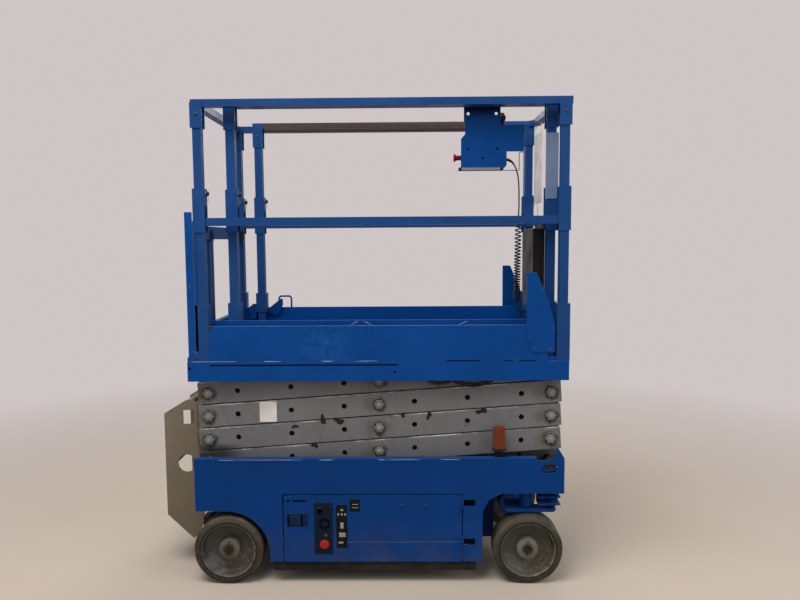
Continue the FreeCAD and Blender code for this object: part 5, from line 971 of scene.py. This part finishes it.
class LIFT_OT_wheels(bpy.types.Operator):
    """Makes the four solid tyres and their dished wheels"""
    bl_idname = "lift.wheels"
    bl_label = "Wheels"

    def execute(self, context):
        sizes = context.scene.lift_sizes
        for end in ("rear", "front"):
            for side, word in SIDES:
                name = f"{end}_{word}"
                low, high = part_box(f"tyre_{name}")
                centre = middle_of(f"tyre_{name}")
                centre[1] = high[1] if side == FAR else low[1]
                radius = (high[2] - low[2]) / 2
                width = high[1] - low[1]
                self.tyre(f"solid_tyre_{name}", centre, side, radius, width, sizes.tyre_shoulder, name)
                self.dish(f"wheel_dish_{name}", centre, side, name)
        return {"FINISHED"}

    def tyre(self, label, centre, side, radius, width, shoulder, name):
        """Closed section turned about the axle: flat tread, round shoulders, walls that bulge by a sine."""
        quarter = np.linspace(0, TAU / 4, 7)
        wall = np.linspace(RIM_RADIUS, radius - shoulder, 9)
        bulge = WALL_BULGE * np.sin(np.linspace(0, math.pi, 9)) - WALL_BULGE
        outer = np.stack([-bulge, wall], axis=-1)
        edge = np.stack([WALL_BULGE + shoulder * (1 - np.cos(quarter)),
                         radius - shoulder + shoulder * np.sin(quarter)], axis=-1)
        tread = np.array([(width * share, radius) for share in (0.3, 0.5, 0.7)])
        section = np.concatenate([outer[:-1], edge, tread])
        far_half = section[::-1].copy()
        far_half[:, 0] = width - far_half[:, 0]
        profile = np.concatenate([section[:-1], far_half[2:]])
        profile[:, 0] = side * -profile[:, 0]
        shape = moved(lathe(profile, "y", 96, loop=True), centre)
        obj = piece(label, shape, FINISH["tyre"], f"wheel_{name}", (f"tyre_{name}",))
        self.polar(obj, centre)

    def polar(self, obj, centre):
        """Stores (cos t, sin t, radius) about the axle at each corner, for the finishes to read."""
        mesh = obj.data
        points = np.empty(len(mesh.vertices) * 3)
        mesh.vertices.foreach_get("co", points)
        away = (points.reshape(-1, 3) - centre)[:, [0, 2]]
        reach = np.linalg.norm(away, axis=1, keepdims=True)
        values = np.concatenate([away / np.maximum(reach, 1e-6), reach], axis=1)
        mesh.attributes.new("polar", "FLOAT_VECTOR", "POINT").data.foreach_set("vector", values.reshape(-1))

    def dish(self, label, centre, side, name):
        """Turned dish: rim lip, cone to a flat disc; a raised round boss; a dark notched nut in its middle and
        two small plugs beside the nut."""
        outward = (-side, 1)
        depth = np.array([(0.113, 0.1215), (0.0015, 0.1215), (0.0, 0.1205), (0.0, 0.1165), (0.002, 0.1150),
                          (0.010, 0.1140), (0.030, 0.1105), (0.037, 0.1080), (0.0405, 0.1030), (0.042, 0.0960),
                          (0.042, 0.0450), (0.060, 0.0450), (0.060, 0.1080), (0.113, 0.1145)])
        dish = lathe(depth * outward, "y", 96, loop=True)
        boss = lathe(np.array([(0.058, 0.0010), (0.058, 0.0495), (0.041, 0.0495), (0.036, 0.0485),
                               (0.024, 0.0475), (0.0185, 0.0462), (0.0165, 0.0430), (0.0160, 0.0270),
                               (0.0190, 0.0255), (0.0200, 0.0120), (0.0200, 0.0010)]) * outward, "y", 72)
        nut = lathe(np.array([(0.022, 0.0010), (0.022, 0.0180), (0.0125, 0.0180), (0.0105, 0.0165),
                              (0.0105, 0.0085), (0.0120, 0.0080), (0.0120, 0.0010)]) * outward, "y", 30)
        turn = np.radians(60 * np.arange(6) + 12)
        spots = np.stack([0.0165 * np.cos(turn), np.zeros(6), 0.0165 * np.sin(turn)], axis=-1)
        tooth = plate(rounded(0.0075, 0.0075, 0.0012, 3), *span(side, -0.0120, -0.0075), "y", 0.0006)
        plug = lathe(np.array([(0.018, 0.0008), (0.018, 0.0052), (0.0152, 0.0052), (0.0155, 0.0042),
                               (0.0170, 0.0036), (0.0170, 0.0008)]) * outward, "y", 20)
        plugs = many(plug, [(0.002, 0, 0.0350), (-0.001, 0, -0.0300)])
        body = f"wheel_{name}"
        disc = piece(label, moved(dish, centre), FINISH["rim"], body, (f"hub_{name}",))
        self.polar(disc, centre)
        hub = piece(f"wheel_boss_{name}", moved(boss, centre), FINISH["hub"], body)
        self.polar(hub, centre)
        fittings = joined(nut, many(tooth, spots), plugs)
        piece(f"hub_nut_{name}", moved(fittings, centre), FINISH["dark"], body)


def joint_place(name):
    """A joint's (x, z) at rest."""
    joints = {joint["name"]: joint for joint in frame["record"]["behaviour"]["joints"]}
    return np.array(joints[name]["pos_m"])[[0, 2]]


def pin_places():
    """Each scissor level's outer pins at rest, (x, z): rear, middle and, below the top level, front."""
    places = {}
    for level in LEVELS:
        middle = joint_place(f"centre_pins_{level}")
        rear = joint_place("lift" if level == 1 else f"rear_pins_{level - 1}")
        front = [2 * middle - rear] if level < 4 else []
        places[level] = np.array([rear, middle] + front)
    return places


class LIFT_OT_pin_nuts(bpy.types.Operator):
    """Makes the scissor pins' nuts, washers and studs, the cross tubes' weld beads, the dirt flakes and the
    blank plate on one arm"""
    bl_idname = "lift.pin_nuts"
    bl_label = "Scissor pins"

    def execute(self, context):
        sizes = context.scene.lift_sizes
        face = WASHER_FACE
        for level, spots in pin_places().items():
            nuts, studs = [], []
            at = np.column_stack([spots[:, 0], np.zeros(len(spots)), spots[:, 1]])
            for side in (NEAR, FAR):
                out = (side, 1)
                low, high = span(side, face, face + sizes.nut_depth)
                nut = plate(hexagon(sizes.nut), low, high, "y", 0.0022)
                ring = np.array([(face - 0.0055, 0.0255), (face - 0.0008, 0.0255), (face, 0.0247)])
                washer = lathe(ring * out, "y", 40)
                end = face + sizes.nut_depth
                stud = lathe(np.array([(face + 0.002, 0.0100), (end + 0.0025, 0.0100), (end + 0.0042, 0.0088),
                                       (end + 0.0044, 0.0030)]) * out, "y", 28)
                nuts.append(many(joined(nut, washer), at))
                studs.append(many(stud, at))
            body = f"outer_arms_{level}_body"
            piece(f"pin_nuts_{level}", joined(*nuts), FINISH["nut"], body)
            piece(f"pin_studs_{level}", joined(*studs), FINISH["stud"], body)
        self.beads()
        self.patches()
        self.arm_plate()
        return {"FINISHED"}

    def patches(self):
        """Flakes of dried dirt on the outer arms: thin irregular patches, each on the arm nearest to it."""
        pins = pin_places()

        def apart(level, x, z):
            """Distance of a spot from an arm's middle line."""
            start, way = pins[level][0], pins[level][1] - pins[level][0]
            return abs((x - start[0]) * way[1] - (z - start[1]) * way[0]) / np.hypot(*way)

        flakes = {level: [] for level in LEVELS}
        rows = [(x, z, 0.0115, NEAR) for x, z in FLAKES_NEAR] + [(x, z, 0.0080, FAR) for x, z in FLAKES_FAR]
        for number, (x, z, radius, side) in enumerate(rows):
            level = min(LEVELS, key=lambda level: apart(level, x, z))
            low, high = span(side, ARM_FACE, ARM_FACE + 0.0011)
            outline = blot(radius * (0.80 + 0.5 * math.sin(number * 2.4) ** 2), number + 1.0)
            flake = plate(outline * ((1.35, 0.80) if number % 2 else (0.95, 1.10)), low, high, "y", 0.0003)
            flakes[level].append(moved(flake, (x, 0, z)))
        for level, shapes in flakes.items():
            if shapes:
                piece(f"dirt_flakes_{level}", joined(*shapes), FINISH["flake"], f"outer_arms_{level}_body")

    def arm_plate(self):
        """Blank white plate on the third near arm."""
        pins = pin_places()[3]
        middle = pins[0] + (pins[1] - pins[0]) * 0.348
        shape = plate(rounded(0.090, 0.0755, 0.003), -ARM_FACE - 0.0015, -ARM_FACE, "y", 0.0004)
        piece("arm_plate", moved(shape, (middle[0], 0, middle[1])), FINISH["white"], "outer_arms_3_body")

    def beads(self):
        """Weld beads round each cross tube's ends: a ring as wide as the tube, whose bead swells by a sine."""
        turn = np.linspace(0, TAU, 49)[:-1]
        section = np.linspace(0, TAU, 7)[:-1]
        swell = 0.0042 + 0.0007 * np.sin(turn * 16)
        ring = CROSS_TUBE_RADIUS + swell[:, None] * np.cos(section)
        grid = np.stack([ring * np.cos(turn)[:, None], swell[:, None] * np.sin(section),
                         ring * np.sin(turn)[:, None]], axis=-1)
        bead = capped(grid, wrap_rows=True)
        for level in LEVELS:
            middle = joint_place(f"centre_pins_{level}")
            rear = joint_place(f"rear_pins_{level}" if level < 4 else "platform_pins")
            spots = [(x, side * CROSS_TUBE_END, z) for x, z in (rear, 2 * middle - rear)
                     for side in (NEAR, FAR)]
            piece(f"tube_welds_{level}", many(bead, spots), FINISH[f"inner_{level}"],
                  f"inner_arms_{level}_body")


class LIFT_OT_chassis(bpy.types.Operator):
    """Makes the doors' latches, slots painted as dark shade, blank labels and bolts, the beacons, the rubbed top
    edges, black plates at the rear, and dark plates of painted shade in the front well and behind the door
    notches"""
    bl_idname = "lift.chassis"
    bl_label = "Chassis and doors"

    def execute(self, context):
        for side, word in SIDES:
            self.door(side, word)
            self.beacon(side, word)
            self.scuffs(side, word)
        # Black plates inside the rear of the chassis, beside the ladder.
        black_plate = plate(rounded(0.068, 0.032, 0.004), 0.200, 0.258, "y", 0.002)
        black_plate = joined(moved(black_plate, (-0.7060, 0, 0.226)), moved(black_plate, (-0.7060, -0.458, 0.226)))
        piece("rear_flaps", black_plate, FINISH["black"], "chassis")
        # A dark plate under the front well: painted shade where the chassis is open.
        well = moved(plate(rounded(0.205, 0.66, 0.01), 0.4300, 0.4330, "z", 0.001), (0.776, 0, 0))
        piece("front_well_floor", well, FINISH["well"], "chassis")
        return {"FINISHED"}

    def scuffs(self, side, word):
        """Rubbed-bright patches along the chassis side's top edge, each (x, half length): long irregular
        outlines, very thin."""
        rows = ((-0.55, 0.050), (-0.44, 0.070), (-0.33, 0.055), (-0.14, 0.030), (0.20, 0.045), (0.395, 0.025),
                (0.10, 0.014))
        low, high = span(side, CHASSIS_SIDE, CHASSIS_SIDE + 0.0005)
        shapes = [moved(plate(blot(1.0, number * 1.7) * (0.0011, half), low, high, "y"), (x, 0, CHASSIS_EDGE))
                  for number, (x, half) in enumerate(rows)]
        piece(f"chassis_scuffs_{word}", joined(*shapes), FINISH["scuff"], "chassis")

    def door(self, side, word):
        """Flat pieces on a tray door, each a rounded outline carried a few millimetres out from its face."""
        face = DOOR_FACE
        body = f"tray_{word}"

        def pad(left, right, low, high, proud, radius, soft=0.0006):
            """A rounded rectangle that stands proud of the door."""
            outline = rounded(high - low, right - left, radius)
            shape = plate(outline, *span(side, face - 0.0005, face + proud), "y", soft)
            return moved(shape, ((left + right) / 2, 0, (low + high) / 2))

        # Dark plates in the latch recess, its side gaps and the key hole: painted shade.
        ring = lathe(np.array([(face - 0.0005, 0.0062), (face + 0.0008, 0.0062), (face + 0.0009, 0.0035)])
                     * (side, 1), "y", 24)
        dark = joined(pad(-0.2945, -0.2331, 0.3735, 0.3810, 0.0008, 0.003), moved(ring, (-0.312, 0, 0.377)),
                      pad(-0.3165, -0.3090, 0.2610, 0.3175, 0.0018, 0.003),
                      pad(-0.2580, -0.2490, 0.2610, 0.3175, 0.0018, 0.003))
        piece(f"door_recesses_{word}", dark, FINISH["ink"], body)
        paddle = joined(pad(-0.3180, -0.2265, 0.2595, 0.3187, 0.0010, 0.006),
                        pad(-0.3060, -0.2610, 0.2700, 0.3085, 0.0030, 0.005, 0.001))
        piece(f"door_latch_{word}", paddle, FINISH["latch"], body)
        strip = joined(pad(-0.1018, -0.0540, 0.1636, 0.3590, 0.0012, 0.003),
                       pad(-0.042, 0.003, 0.328, 0.383, 0.0010, 0.003))
        piece(f"door_strip_{word}", strip, FINISH["strip"], body)
        blanks = [pad(x - wide / 2, x + wide / 2, z - tall / 2, z + tall / 2, 0.0018, 0.0012, 0.0003)
                  for x, z, wide, tall in ((-0.0769, 0.3358, 0.013, 0.008), (-0.0923, 0.3161, 0.007, 0.011),
                                           (-0.0769, 0.3161, 0.007, 0.011), (-0.0622, 0.3161, 0.007, 0.011),
                                           (-0.0769, 0.2655, 0.014, 0.027), (-0.0756, 0.2233, 0.029, 0.020),
                                           (-0.0820, 0.1880, 0.020, 0.009), (-0.0180, 0.3610, 0.026, 0.003),
                                           (-0.0180, 0.3460, 0.026, 0.003))]
        piece(f"door_blanks_{word}", joined(*blanks), FINISH["blank"], body)
        # The door's crease: a thin tube in the crease finish, a painted highlight along the fold.
        x = np.linspace(-0.104, 0.445, 60)
        path = np.column_stack([x, np.full(60, side * (face - 0.0008)), 0.189 + 0.0004 * np.sin(x * 30)])
        piece(f"door_crease_{word}", tube(path, 0.0020, 12), FINISH["crease"], body)
        low, high = span(side, face - 0.0040, face - 0.0005)
        corner = plate([(0.3695, -0.332), (0.401, -0.332), (0.401, -0.3005)], low, high, "y")
        piece(f"door_corner_{word}", corner, FINISH["blue_low"], "chassis")
        # Dark plates behind the hinge notches: painted shade in the openings.
        low, high = span(side, NOTCH_BACK, NOTCH_BACK + 0.004)
        backs = [moved(plate(rounded(tall, 0.058, 0.002), low, high, "y"), (0.4875, 0, z))
                 for z, tall in ((0.202, 0.080), (0.372, 0.080))]
        piece(f"notch_shade_backs_{word}", joined(*backs), FINISH["well"], "chassis")
        bolt = plate(hexagon(0.010), *span(side, face, face + 0.003), "y", 0.001)
        piece(f"door_bolts_{word}", many(bolt, [(0.190, 0, 0.359), (0.292, 0, 0.359)]), FINISH["bolt"], body)

    def beacon(self, side, word):
        """Amber lens with upright ribs, on a flared black base and a steel bracket."""
        middle = (0.612, side * 0.3565, 0.0)
        lens = stacked([(0.6065, 0.0285, 0.0130), (0.6120, 0.0272, 0.0124), (0.6400, 0.0266, 0.0121),
                        (0.6900, 0.0250, 0.0114), (0.6990, 0.0238, 0.0109), (0.7040, 0.0190, 0.0088),
                        (0.7062, 0.0110, 0.0050), (0.7066, 0.0020, 0.0010)], 0.045)
        base = stacked([(0.5965, 0.0296, 0.0132), (0.6035, 0.0299, 0.0134), (0.6075, 0.0290, 0.0131)])
        bracket = plate(rounded(0.036, 0.0080, 0.0025, 4), 0.5655, 0.5970, "z")
        bracket = moved(bracket, (0.0, side * -0.0095, 0.0))
        replaced = ("beacons",) if side == NEAR else ()
        piece(f"beacon_lens_{word}", moved(lens, middle), FINISH["amber"], "chassis", replaced)
        piece(f"beacon_base_{word}", moved(base, middle), FINISH["black"], "chassis")
        piece(f"beacon_bracket_{word}", moved(bracket, middle), FINISH["black_paint"], "chassis")


class LIFT_OT_ground_controls(bpy.types.Operator):
    """Makes the ground panel's switches, lamp, socket and stop button"""
    bl_idname = "lift.ground_controls"
    bl_label = "Ground controls"

    def execute(self, context):
        face = -PANEL_FACE

        def turned(x, z, profile, sides=40):
            """A turned piece at (x, z) whose profile is measured out from the panel."""
            points = np.asarray(profile, float) * (-1, 1) + (face, 0)
            return moved(lathe(points, "y", sides), (x, 0, z))

        collar = turned(-0.174, 0.334, [(0, 0.0150), (0.003, 0.0150), (0.0042, 0.0140), (0.0050, 0.0110)])
        key = moved(plate(rounded(0.018, 0.005, 0.002), face - 0.0049, face - 0.0035, "y"), (-0.174, 0, 0.334))
        toggle = turned(-0.148, 0.223, [(0, 0.0065), (0.0030, 0.0065), (0.0034, 0.0040), (0.0050, 0.0034)], 24)
        socket = turned(-0.153, 0.276, [(0, 0.0235), (0.0035, 0.0235), (0.0046, 0.022), (0.0048, 0.015),
                                        (0.0015, 0.013)])
        piece("ground_switches", joined(collar, key), FINISH["black_paint"], "tray_near")
        piece("ground_toggle", toggle, FINISH["bolt"], "tray_near")
        piece("ground_socket", socket, FINISH["ink"], "tray_near")
        lamp = turned(-0.128, 0.3486, [(0, 0.0055), (0.0030, 0.0053), (0.0046, 0.0032), (0.0049, 0.001)])
        stop = turned(-0.155, 0.1815, [(0, 0.0200), (0.0035, 0.0200), (0.0048, 0.0182), (0.0050, 0.0100)])
        piece("ground_lamp", lamp, FINISH["collar"], "tray_near")
        piece("ground_stop_button", stop, FINISH["red"], "tray_near", ("ground_stop",))
        return {"FINISHED"}


class LIFT_OT_rail_fasteners(bpy.types.Operator):
    """Makes the fold pivots' bolts and the spring lock pins with their wire lanyards"""
    bl_idname = "lift.rail_fasteners"
    bl_label = "Rail fasteners"

    def execute(self, context):
        sizes = context.scene.lift_sizes
        self.heads("main_top_bolts", POSTS, POST_OUT, sizes.bolt, "top_rail")
        self.heads("rollout_bolts", ROLLOUT_POSTS, ROLLOUT_POST_OUT, sizes.bolt, "rollout")
        self.pins("main", POSTS[:3], POST_OUT, "platform", "main_lock_pins")
        self.pins("rollout", ROLLOUT_POSTS, ROLLOUT_POST_OUT, "rollout", "rollout_lock_pins")
        return {"FINISHED"}

    def heads(self, name, posts, out, flats, body):
        """Hexagon heads on both cheeks of the bracket at each post, pointing away from the post."""
        shapes = []
        for reach in (-1, 1):
            head = plate(hexagon(flats), *span(reach, 0.0, 0.0055), "y", 0.001)
            at = [(x, side * out + reach * BRACKET_HALF, FOLD_BOLTS) for x, side in posts]
            shapes.append(many(head, at))
        piece(name, joined(*shapes), FINISH["bolt"], body)

    def pins(self, word, posts, out, body, replaced):
        """Spring pins along X at the posts: grey collar and neck, dark knob; a wire lanyard hangs from each as
        a curve whose sideways swing is a sine of its length."""
        collar = lathe(np.array([(0.0, 0.0010), (0.0, 0.0098), (0.0030, 0.0098), (0.0036, 0.0062),
                                 (0.0060, 0.0058), (0.0060, 0.0010)]), "x", 24)
        knob = lathe(np.array([(0.0050, 0.0010), (0.0050, 0.0080), (0.0062, 0.0100), (0.0100, 0.0104),
                               (0.0140, 0.0088), (0.0158, 0.0050), (0.0162, 0.0010)]), "x", 24)
        u = np.linspace(0.0, 1.0, 40)
        wire = np.column_stack([0.006 + 0.004 * np.sin(u * 5.0), 0.010 * np.sin(u * math.pi * 1.5),
                                -0.006 - 0.050 * u])
        at = [(x + 0.0250, side * out, LOCK_PINS) for x, side in posts]
        piece(f"{word}_pin_collars", many(joined(collar, tube(wire, 0.0008, 6, (0.0, 1.0, 0.0))), at),
              FINISH["stud"], body, (replaced,))
        piece(f"{word}_pin_knobs", many(knob, at), FINISH["black"], body)


class LIFT_OT_control_box(bpy.types.Operator):
    """Makes the control box's screws, stop button, stick boot and wire guard"""
    bl_idname = "lift.control_box"
    bl_label = "Control box"

    def execute(self, context):
        face = -BOX_FACE
        screw = lathe(np.array([(face - 0.0016, 0.0010), (face - 0.0016, 0.0026), (face - 0.0022, 0.0030),
                                (face - 0.0020, 0.0046), (face + 0.001, 0.0052)]), "y", 20)
        spots = [(0.4848, 0, 1.908), (0.6108, 0, 1.907), (0.5484, 0, 1.867)]
        piece("box_screws", many(screw, spots), FINISH["ink"], "rollout")
        middle = (0.465, -0.1825, 1.8755)
        collar = lathe(np.array([(0.0, 0.0130), (0.0060, 0.0126), (0.0110, 0.0105), (0.0160, 0.0100)])
                       * (-1, 1), "x", 32)
        mushroom = lathe(np.array([(0.0150, 0.0095), (0.0170, 0.0112), (0.0300, 0.0118), (0.0325, 0.0160),
                                   (0.0340, 0.0170), (0.0385, 0.0170), (0.0400, 0.0155), (0.0404, 0.0010)])
                         * (-1, 1), "x", 36)
        piece("stop_mushroom", moved(mushroom, middle), FINISH["red"], "rollout", ("control_stop",))
        piece("stop_collar", moved(collar, middle), FINISH["collar"], "rollout")
        stick = lathe(np.array([(1.961, 0.0118), (1.968, 0.0118), (1.973, 0.0088), (1.978, 0.0112),
                                (1.983, 0.0084), (1.988, 0.0106), (1.993, 0.0080), (1.998, 0.0098),
                                (2.004, 0.0084), (2.016, 0.0100), (2.028, 0.0130), (2.042, 0.0185),
                                (2.049, 0.0205), (2.053, 0.0205), (2.060, 0.0165), (2.0690, 0.0120),
                                (2.0705, 0.0100), (2.0712, 0.0010)]), "z", 10)
        gland = lathe(np.array([(0.0, 0.0095), (0.006, 0.0095), (0.0066, 0.0080), (0.0160, 0.0078)]), "x", 24)
        upright = joined(moved(stick, (0.6365, -0.1825, 0)), moved(gland, (0.646, -0.1825, 1.867)))
        piece("stick_and_gland", upright, FINISH["black"], "rollout", ("control_stick",))
        corners = np.array([(0.630, 1.8135), (0.696, 1.8120), (0.7035, 1.8125), (0.7060, 1.8165), (0.7060, 1.850),
                            (0.7055, 1.8855), (0.7075, 1.8900), (0.7130, 1.8905), (0.7240, 1.8903)])
        run = np.linspace(0, len(corners) - 1, 90)
        hoop = np.column_stack([np.interp(run, np.arange(len(corners)), corners[:, 0]), np.full(90, -0.2530),
                                np.interp(run, np.arange(len(corners)), corners[:, 1])])
        piece("foot_hoop", tube(hoop, 0.0016, 10, (0.0, 1.0, 0.0)), FINISH["dark"], "rollout")
        ends = [moved(plate(rounded(0.0125, wide, 0.002), -0.2512, -0.2050, "y", 0.0006), (x, 0, 1.8208))
                for x, wide in ((0.4500, 0.011), (0.6310, 0.013))]
        piece("foot_ends", joined(*ends), FINISH["black"], "rollout")
        return {"FINISHED"}


class LIFT_OT_platform(bpy.types.Operator):
    """Makes the hoses under the platform, the roll-out floor's tread, the side channels' slots (painted shade)
    and rubbed edges, the plates' bolts, the rear post's filler strip, the toe board's rods and the gate's latch"""
    bl_idname = "lift.platform"
    bl_label = "Platform"

    def execute(self, context):
        light = self.sag((0.2859, 0.9127), (0.3469, 0.8857), (0.4079, 0.9030))
        dark = self.sag((0.4079, 0.9030), (0.4951, 0.8789), (0.5857, 0.9030))
        hoses = (("hose_olive", "hose", light, (0.004, 0.010, 0.008), 0.0052),
                 ("hose_dark", "cord", dark, (0.0, 0.004, 0.010), 0.0042))
        for name, finish, line, beside, radius in hoses:
            pair = [tube(path, radius, 14, (0.0, 1.0, 0.0)) for path in (line, line + beside)]
            piece(name, joined(*pair), FINISH[finish], "platform")
        self.tread()
        for side, word in SIDES:
            self.channel(side, word)
        bolts = (("plate_bolts", CHANNEL_FACE, ((-0.7117, 1.3223), (-0.7058, 1.0381))),
                 ("gusset_bolts", GUSSET_FACE, ((0.7551, 1.046), (0.824, 1.0456))))
        for name, face, spots in bolts:
            head = plate(hexagon(context.scene.lift_sizes.bolt), -face - 0.0015, -face + 0.002, "y", 0.0008)
            piece(name, many(head, [(x, 0, z) for x, z in spots]), FINISH["bolt"], "platform")
        strip = moved(plate(rounded(0.560, 0.0112, 0.001), -0.3740, -POST_OUT, "y", 0.0006),
                      (-0.6882, 0, 1.320))
        piece("rear_post_filler", strip, FINISH["rail"], "platform")
        ends = (((-0.0277, -0.345, 1.1491), (-0.0005, -0.330, 1.1628)),
                ((0.0273, -0.330, 1.1626), (0.0614, -0.345, 1.1486)),
                ((0.4333, -0.345, 1.1466), (0.4733, -0.330, 1.1598)))
        rods = [tube(np.linspace(start, end, 8), 0.0014, 10) for start, end in ends]
        piece("toe_rods", joined(*rods), FINISH["steel"], "platform")
        latch = moved(plate(rounded(0.046, 0.024, 0.003), 0.205, 0.232, "y", 0.0015), (-0.6290, 0, 1.545))
        piece("gate_latch", latch, FINISH["black_paint"], "gate")
        return {"FINISHED"}

    def tread(self):
        """Raised lozenges on the deck floor, in rows that lean one way and the other in turn."""
        lean = np.array(((1.0, 1.0), (-1.0, 1.0))) / math.sqrt(2)
        across, along = np.meshgrid(np.arange(-0.255, 0.256, 0.030), np.arange(-0.585, 0.846, 0.030))
        spots = np.column_stack([along.ravel(), across.ravel(), np.zeros(along.size)])
        even = (np.round((spots[:, 0] + spots[:, 1] + 0.84) / 0.030).astype(int) % 2) == 0
        rows = []
        for turn, chosen in ((lean, spots[even]), (lean * (1, -1), spots[~even])):
            outline = np.array([(0.011, 0.0), (0.0, 0.0028), (-0.011, 0.0), (0.0, -0.0028)]) @ turn.T
            if np.linalg.det(turn) < 0:
                outline = outline[::-1]
            rows.append(many(plate(outline, DECK_TOP - 0.0004, DECK_TOP + 0.0007, "z"), chosen))
        piece("deck_tread", joined(*rows), FINISH["blue"], "rollout", smooth=0.0)

    def channel(self, side, word):
        """Slots and holes in a side channel, as dark plates of painted shade, and the rubbed line along its top
        edge.
        """
        low, high = span(side, CHANNEL_FACE, CHANNEL_FACE + 0.0009)
        slots = [moved(plate(rounded(tall, right - left, tall * 0.45, 3), low, high, "y"),
                       ((left + right) / 2, 0, z))
                 for left, right, z, tall in ((-0.636, 0.176, 0.980, 0.0058), (0.3815, 0.525, 0.9966, 0.0042),
                                              (0.6242, 0.7674, 0.9955, 0.0036))]
        hole = lathe(np.array([(low, 0.0010), (low, 0.0058), (high, 0.0058), (high, 0.0010)]), "y", 20)
        slots += [moved(hole, (x, 0, z)) for x, z in ((-0.7238, 0.9663), (0.1607, 0.9483))]
        piece(f"channel_slots_{word}", joined(*slots), FINISH["ink"], "platform")
        rows = ((-0.69, 0.020), (-0.62, 0.032), (-0.55, 0.022), (-0.37, 0.032), (-0.13, 0.026), (0.04, 0.032),
                (0.455, 0.014), (0.69, 0.022))
        rubs = [moved(plate(blot(1.0, number * 1.3) * (0.0010, half), low, high, "y"), (x, 0, CHANNEL_EDGE))
                for number, (x, half) in enumerate(rows)]
        piece(f"channel_rubs_{word}", joined(*rubs), FINISH["scuff"], "platform")

    def sag(self, start, low, end):
        """Hanging line of a near-side hose: a parabola through three points (x, z)."""
        x = np.linspace(start[0], end[0], 40)
        points = np.array([start, low, end])
        z = np.polyval(np.polyfit(points[:, 0], points[:, 1], 2), x)
        return np.column_stack([x, np.full(40, -HOSE_OUT), z])


PIECES = (LIFT_OT_finishes, LIFT_OT_wheels, LIFT_OT_pin_nuts, LIFT_OT_chassis, LIFT_OT_ground_controls,
          LIFT_OT_rail_fasteners, LIFT_OT_control_box, LIFT_OT_platform)
OPERATORS = (LIFT_OT_stage, LIFT_OT_cord) + PIECES


class LIFT_PT_sidebar(bpy.types.Panel):
    """Lists the pieces and their settings"""
    bl_idname = "LIFT_PT_sidebar"
    bl_label = "Scissor lift"
    bl_space_type = "VIEW_3D"
    bl_region_type = "UI"
    bl_category = "Lift"

    def draw(self, context):
        for operator in OPERATORS:
            self.layout.operator(operator.bl_idname)
        for group in settings():
            box = self.layout.box()
            for key in group.bl_rna.properties.keys():
                if key not in ("rna_type", "name"):
                    box.prop(group, key)


CLASSES = (LiftColours, LiftSizes, LiftStage) + OPERATORS + (LIFT_PT_sidebar,)


def register():
    """Adds the classes and their settings."""
    for item in CLASSES:
        bpy.utils.register_class(item)
    bpy.types.Scene.lift_colours = bpy.props.PointerProperty(type=LiftColours)
    bpy.types.Scene.lift_sizes = bpy.props.PointerProperty(type=LiftSizes)
    bpy.types.Scene.lift_stage = bpy.props.PointerProperty(type=LiftStage)


def unregister():
    """Takes the classes and their settings away."""
    del bpy.types.Scene.lift_stage, bpy.types.Scene.lift_sizes, bpy.types.Scene.lift_colours
    for item in reversed(CLASSES):
        bpy.utils.unregister_class(item)


def main():
    """Makes every piece in order."""
    register()
    bpy.ops.lift.stage()
    FINISH.update(build_finishes())
    bpy.ops.lift.cord()
    for operator in PIECES:
        getattr(bpy.ops.lift, operator.bl_idname.split(".")[1])()


if __name__ == "__main__":
    main()
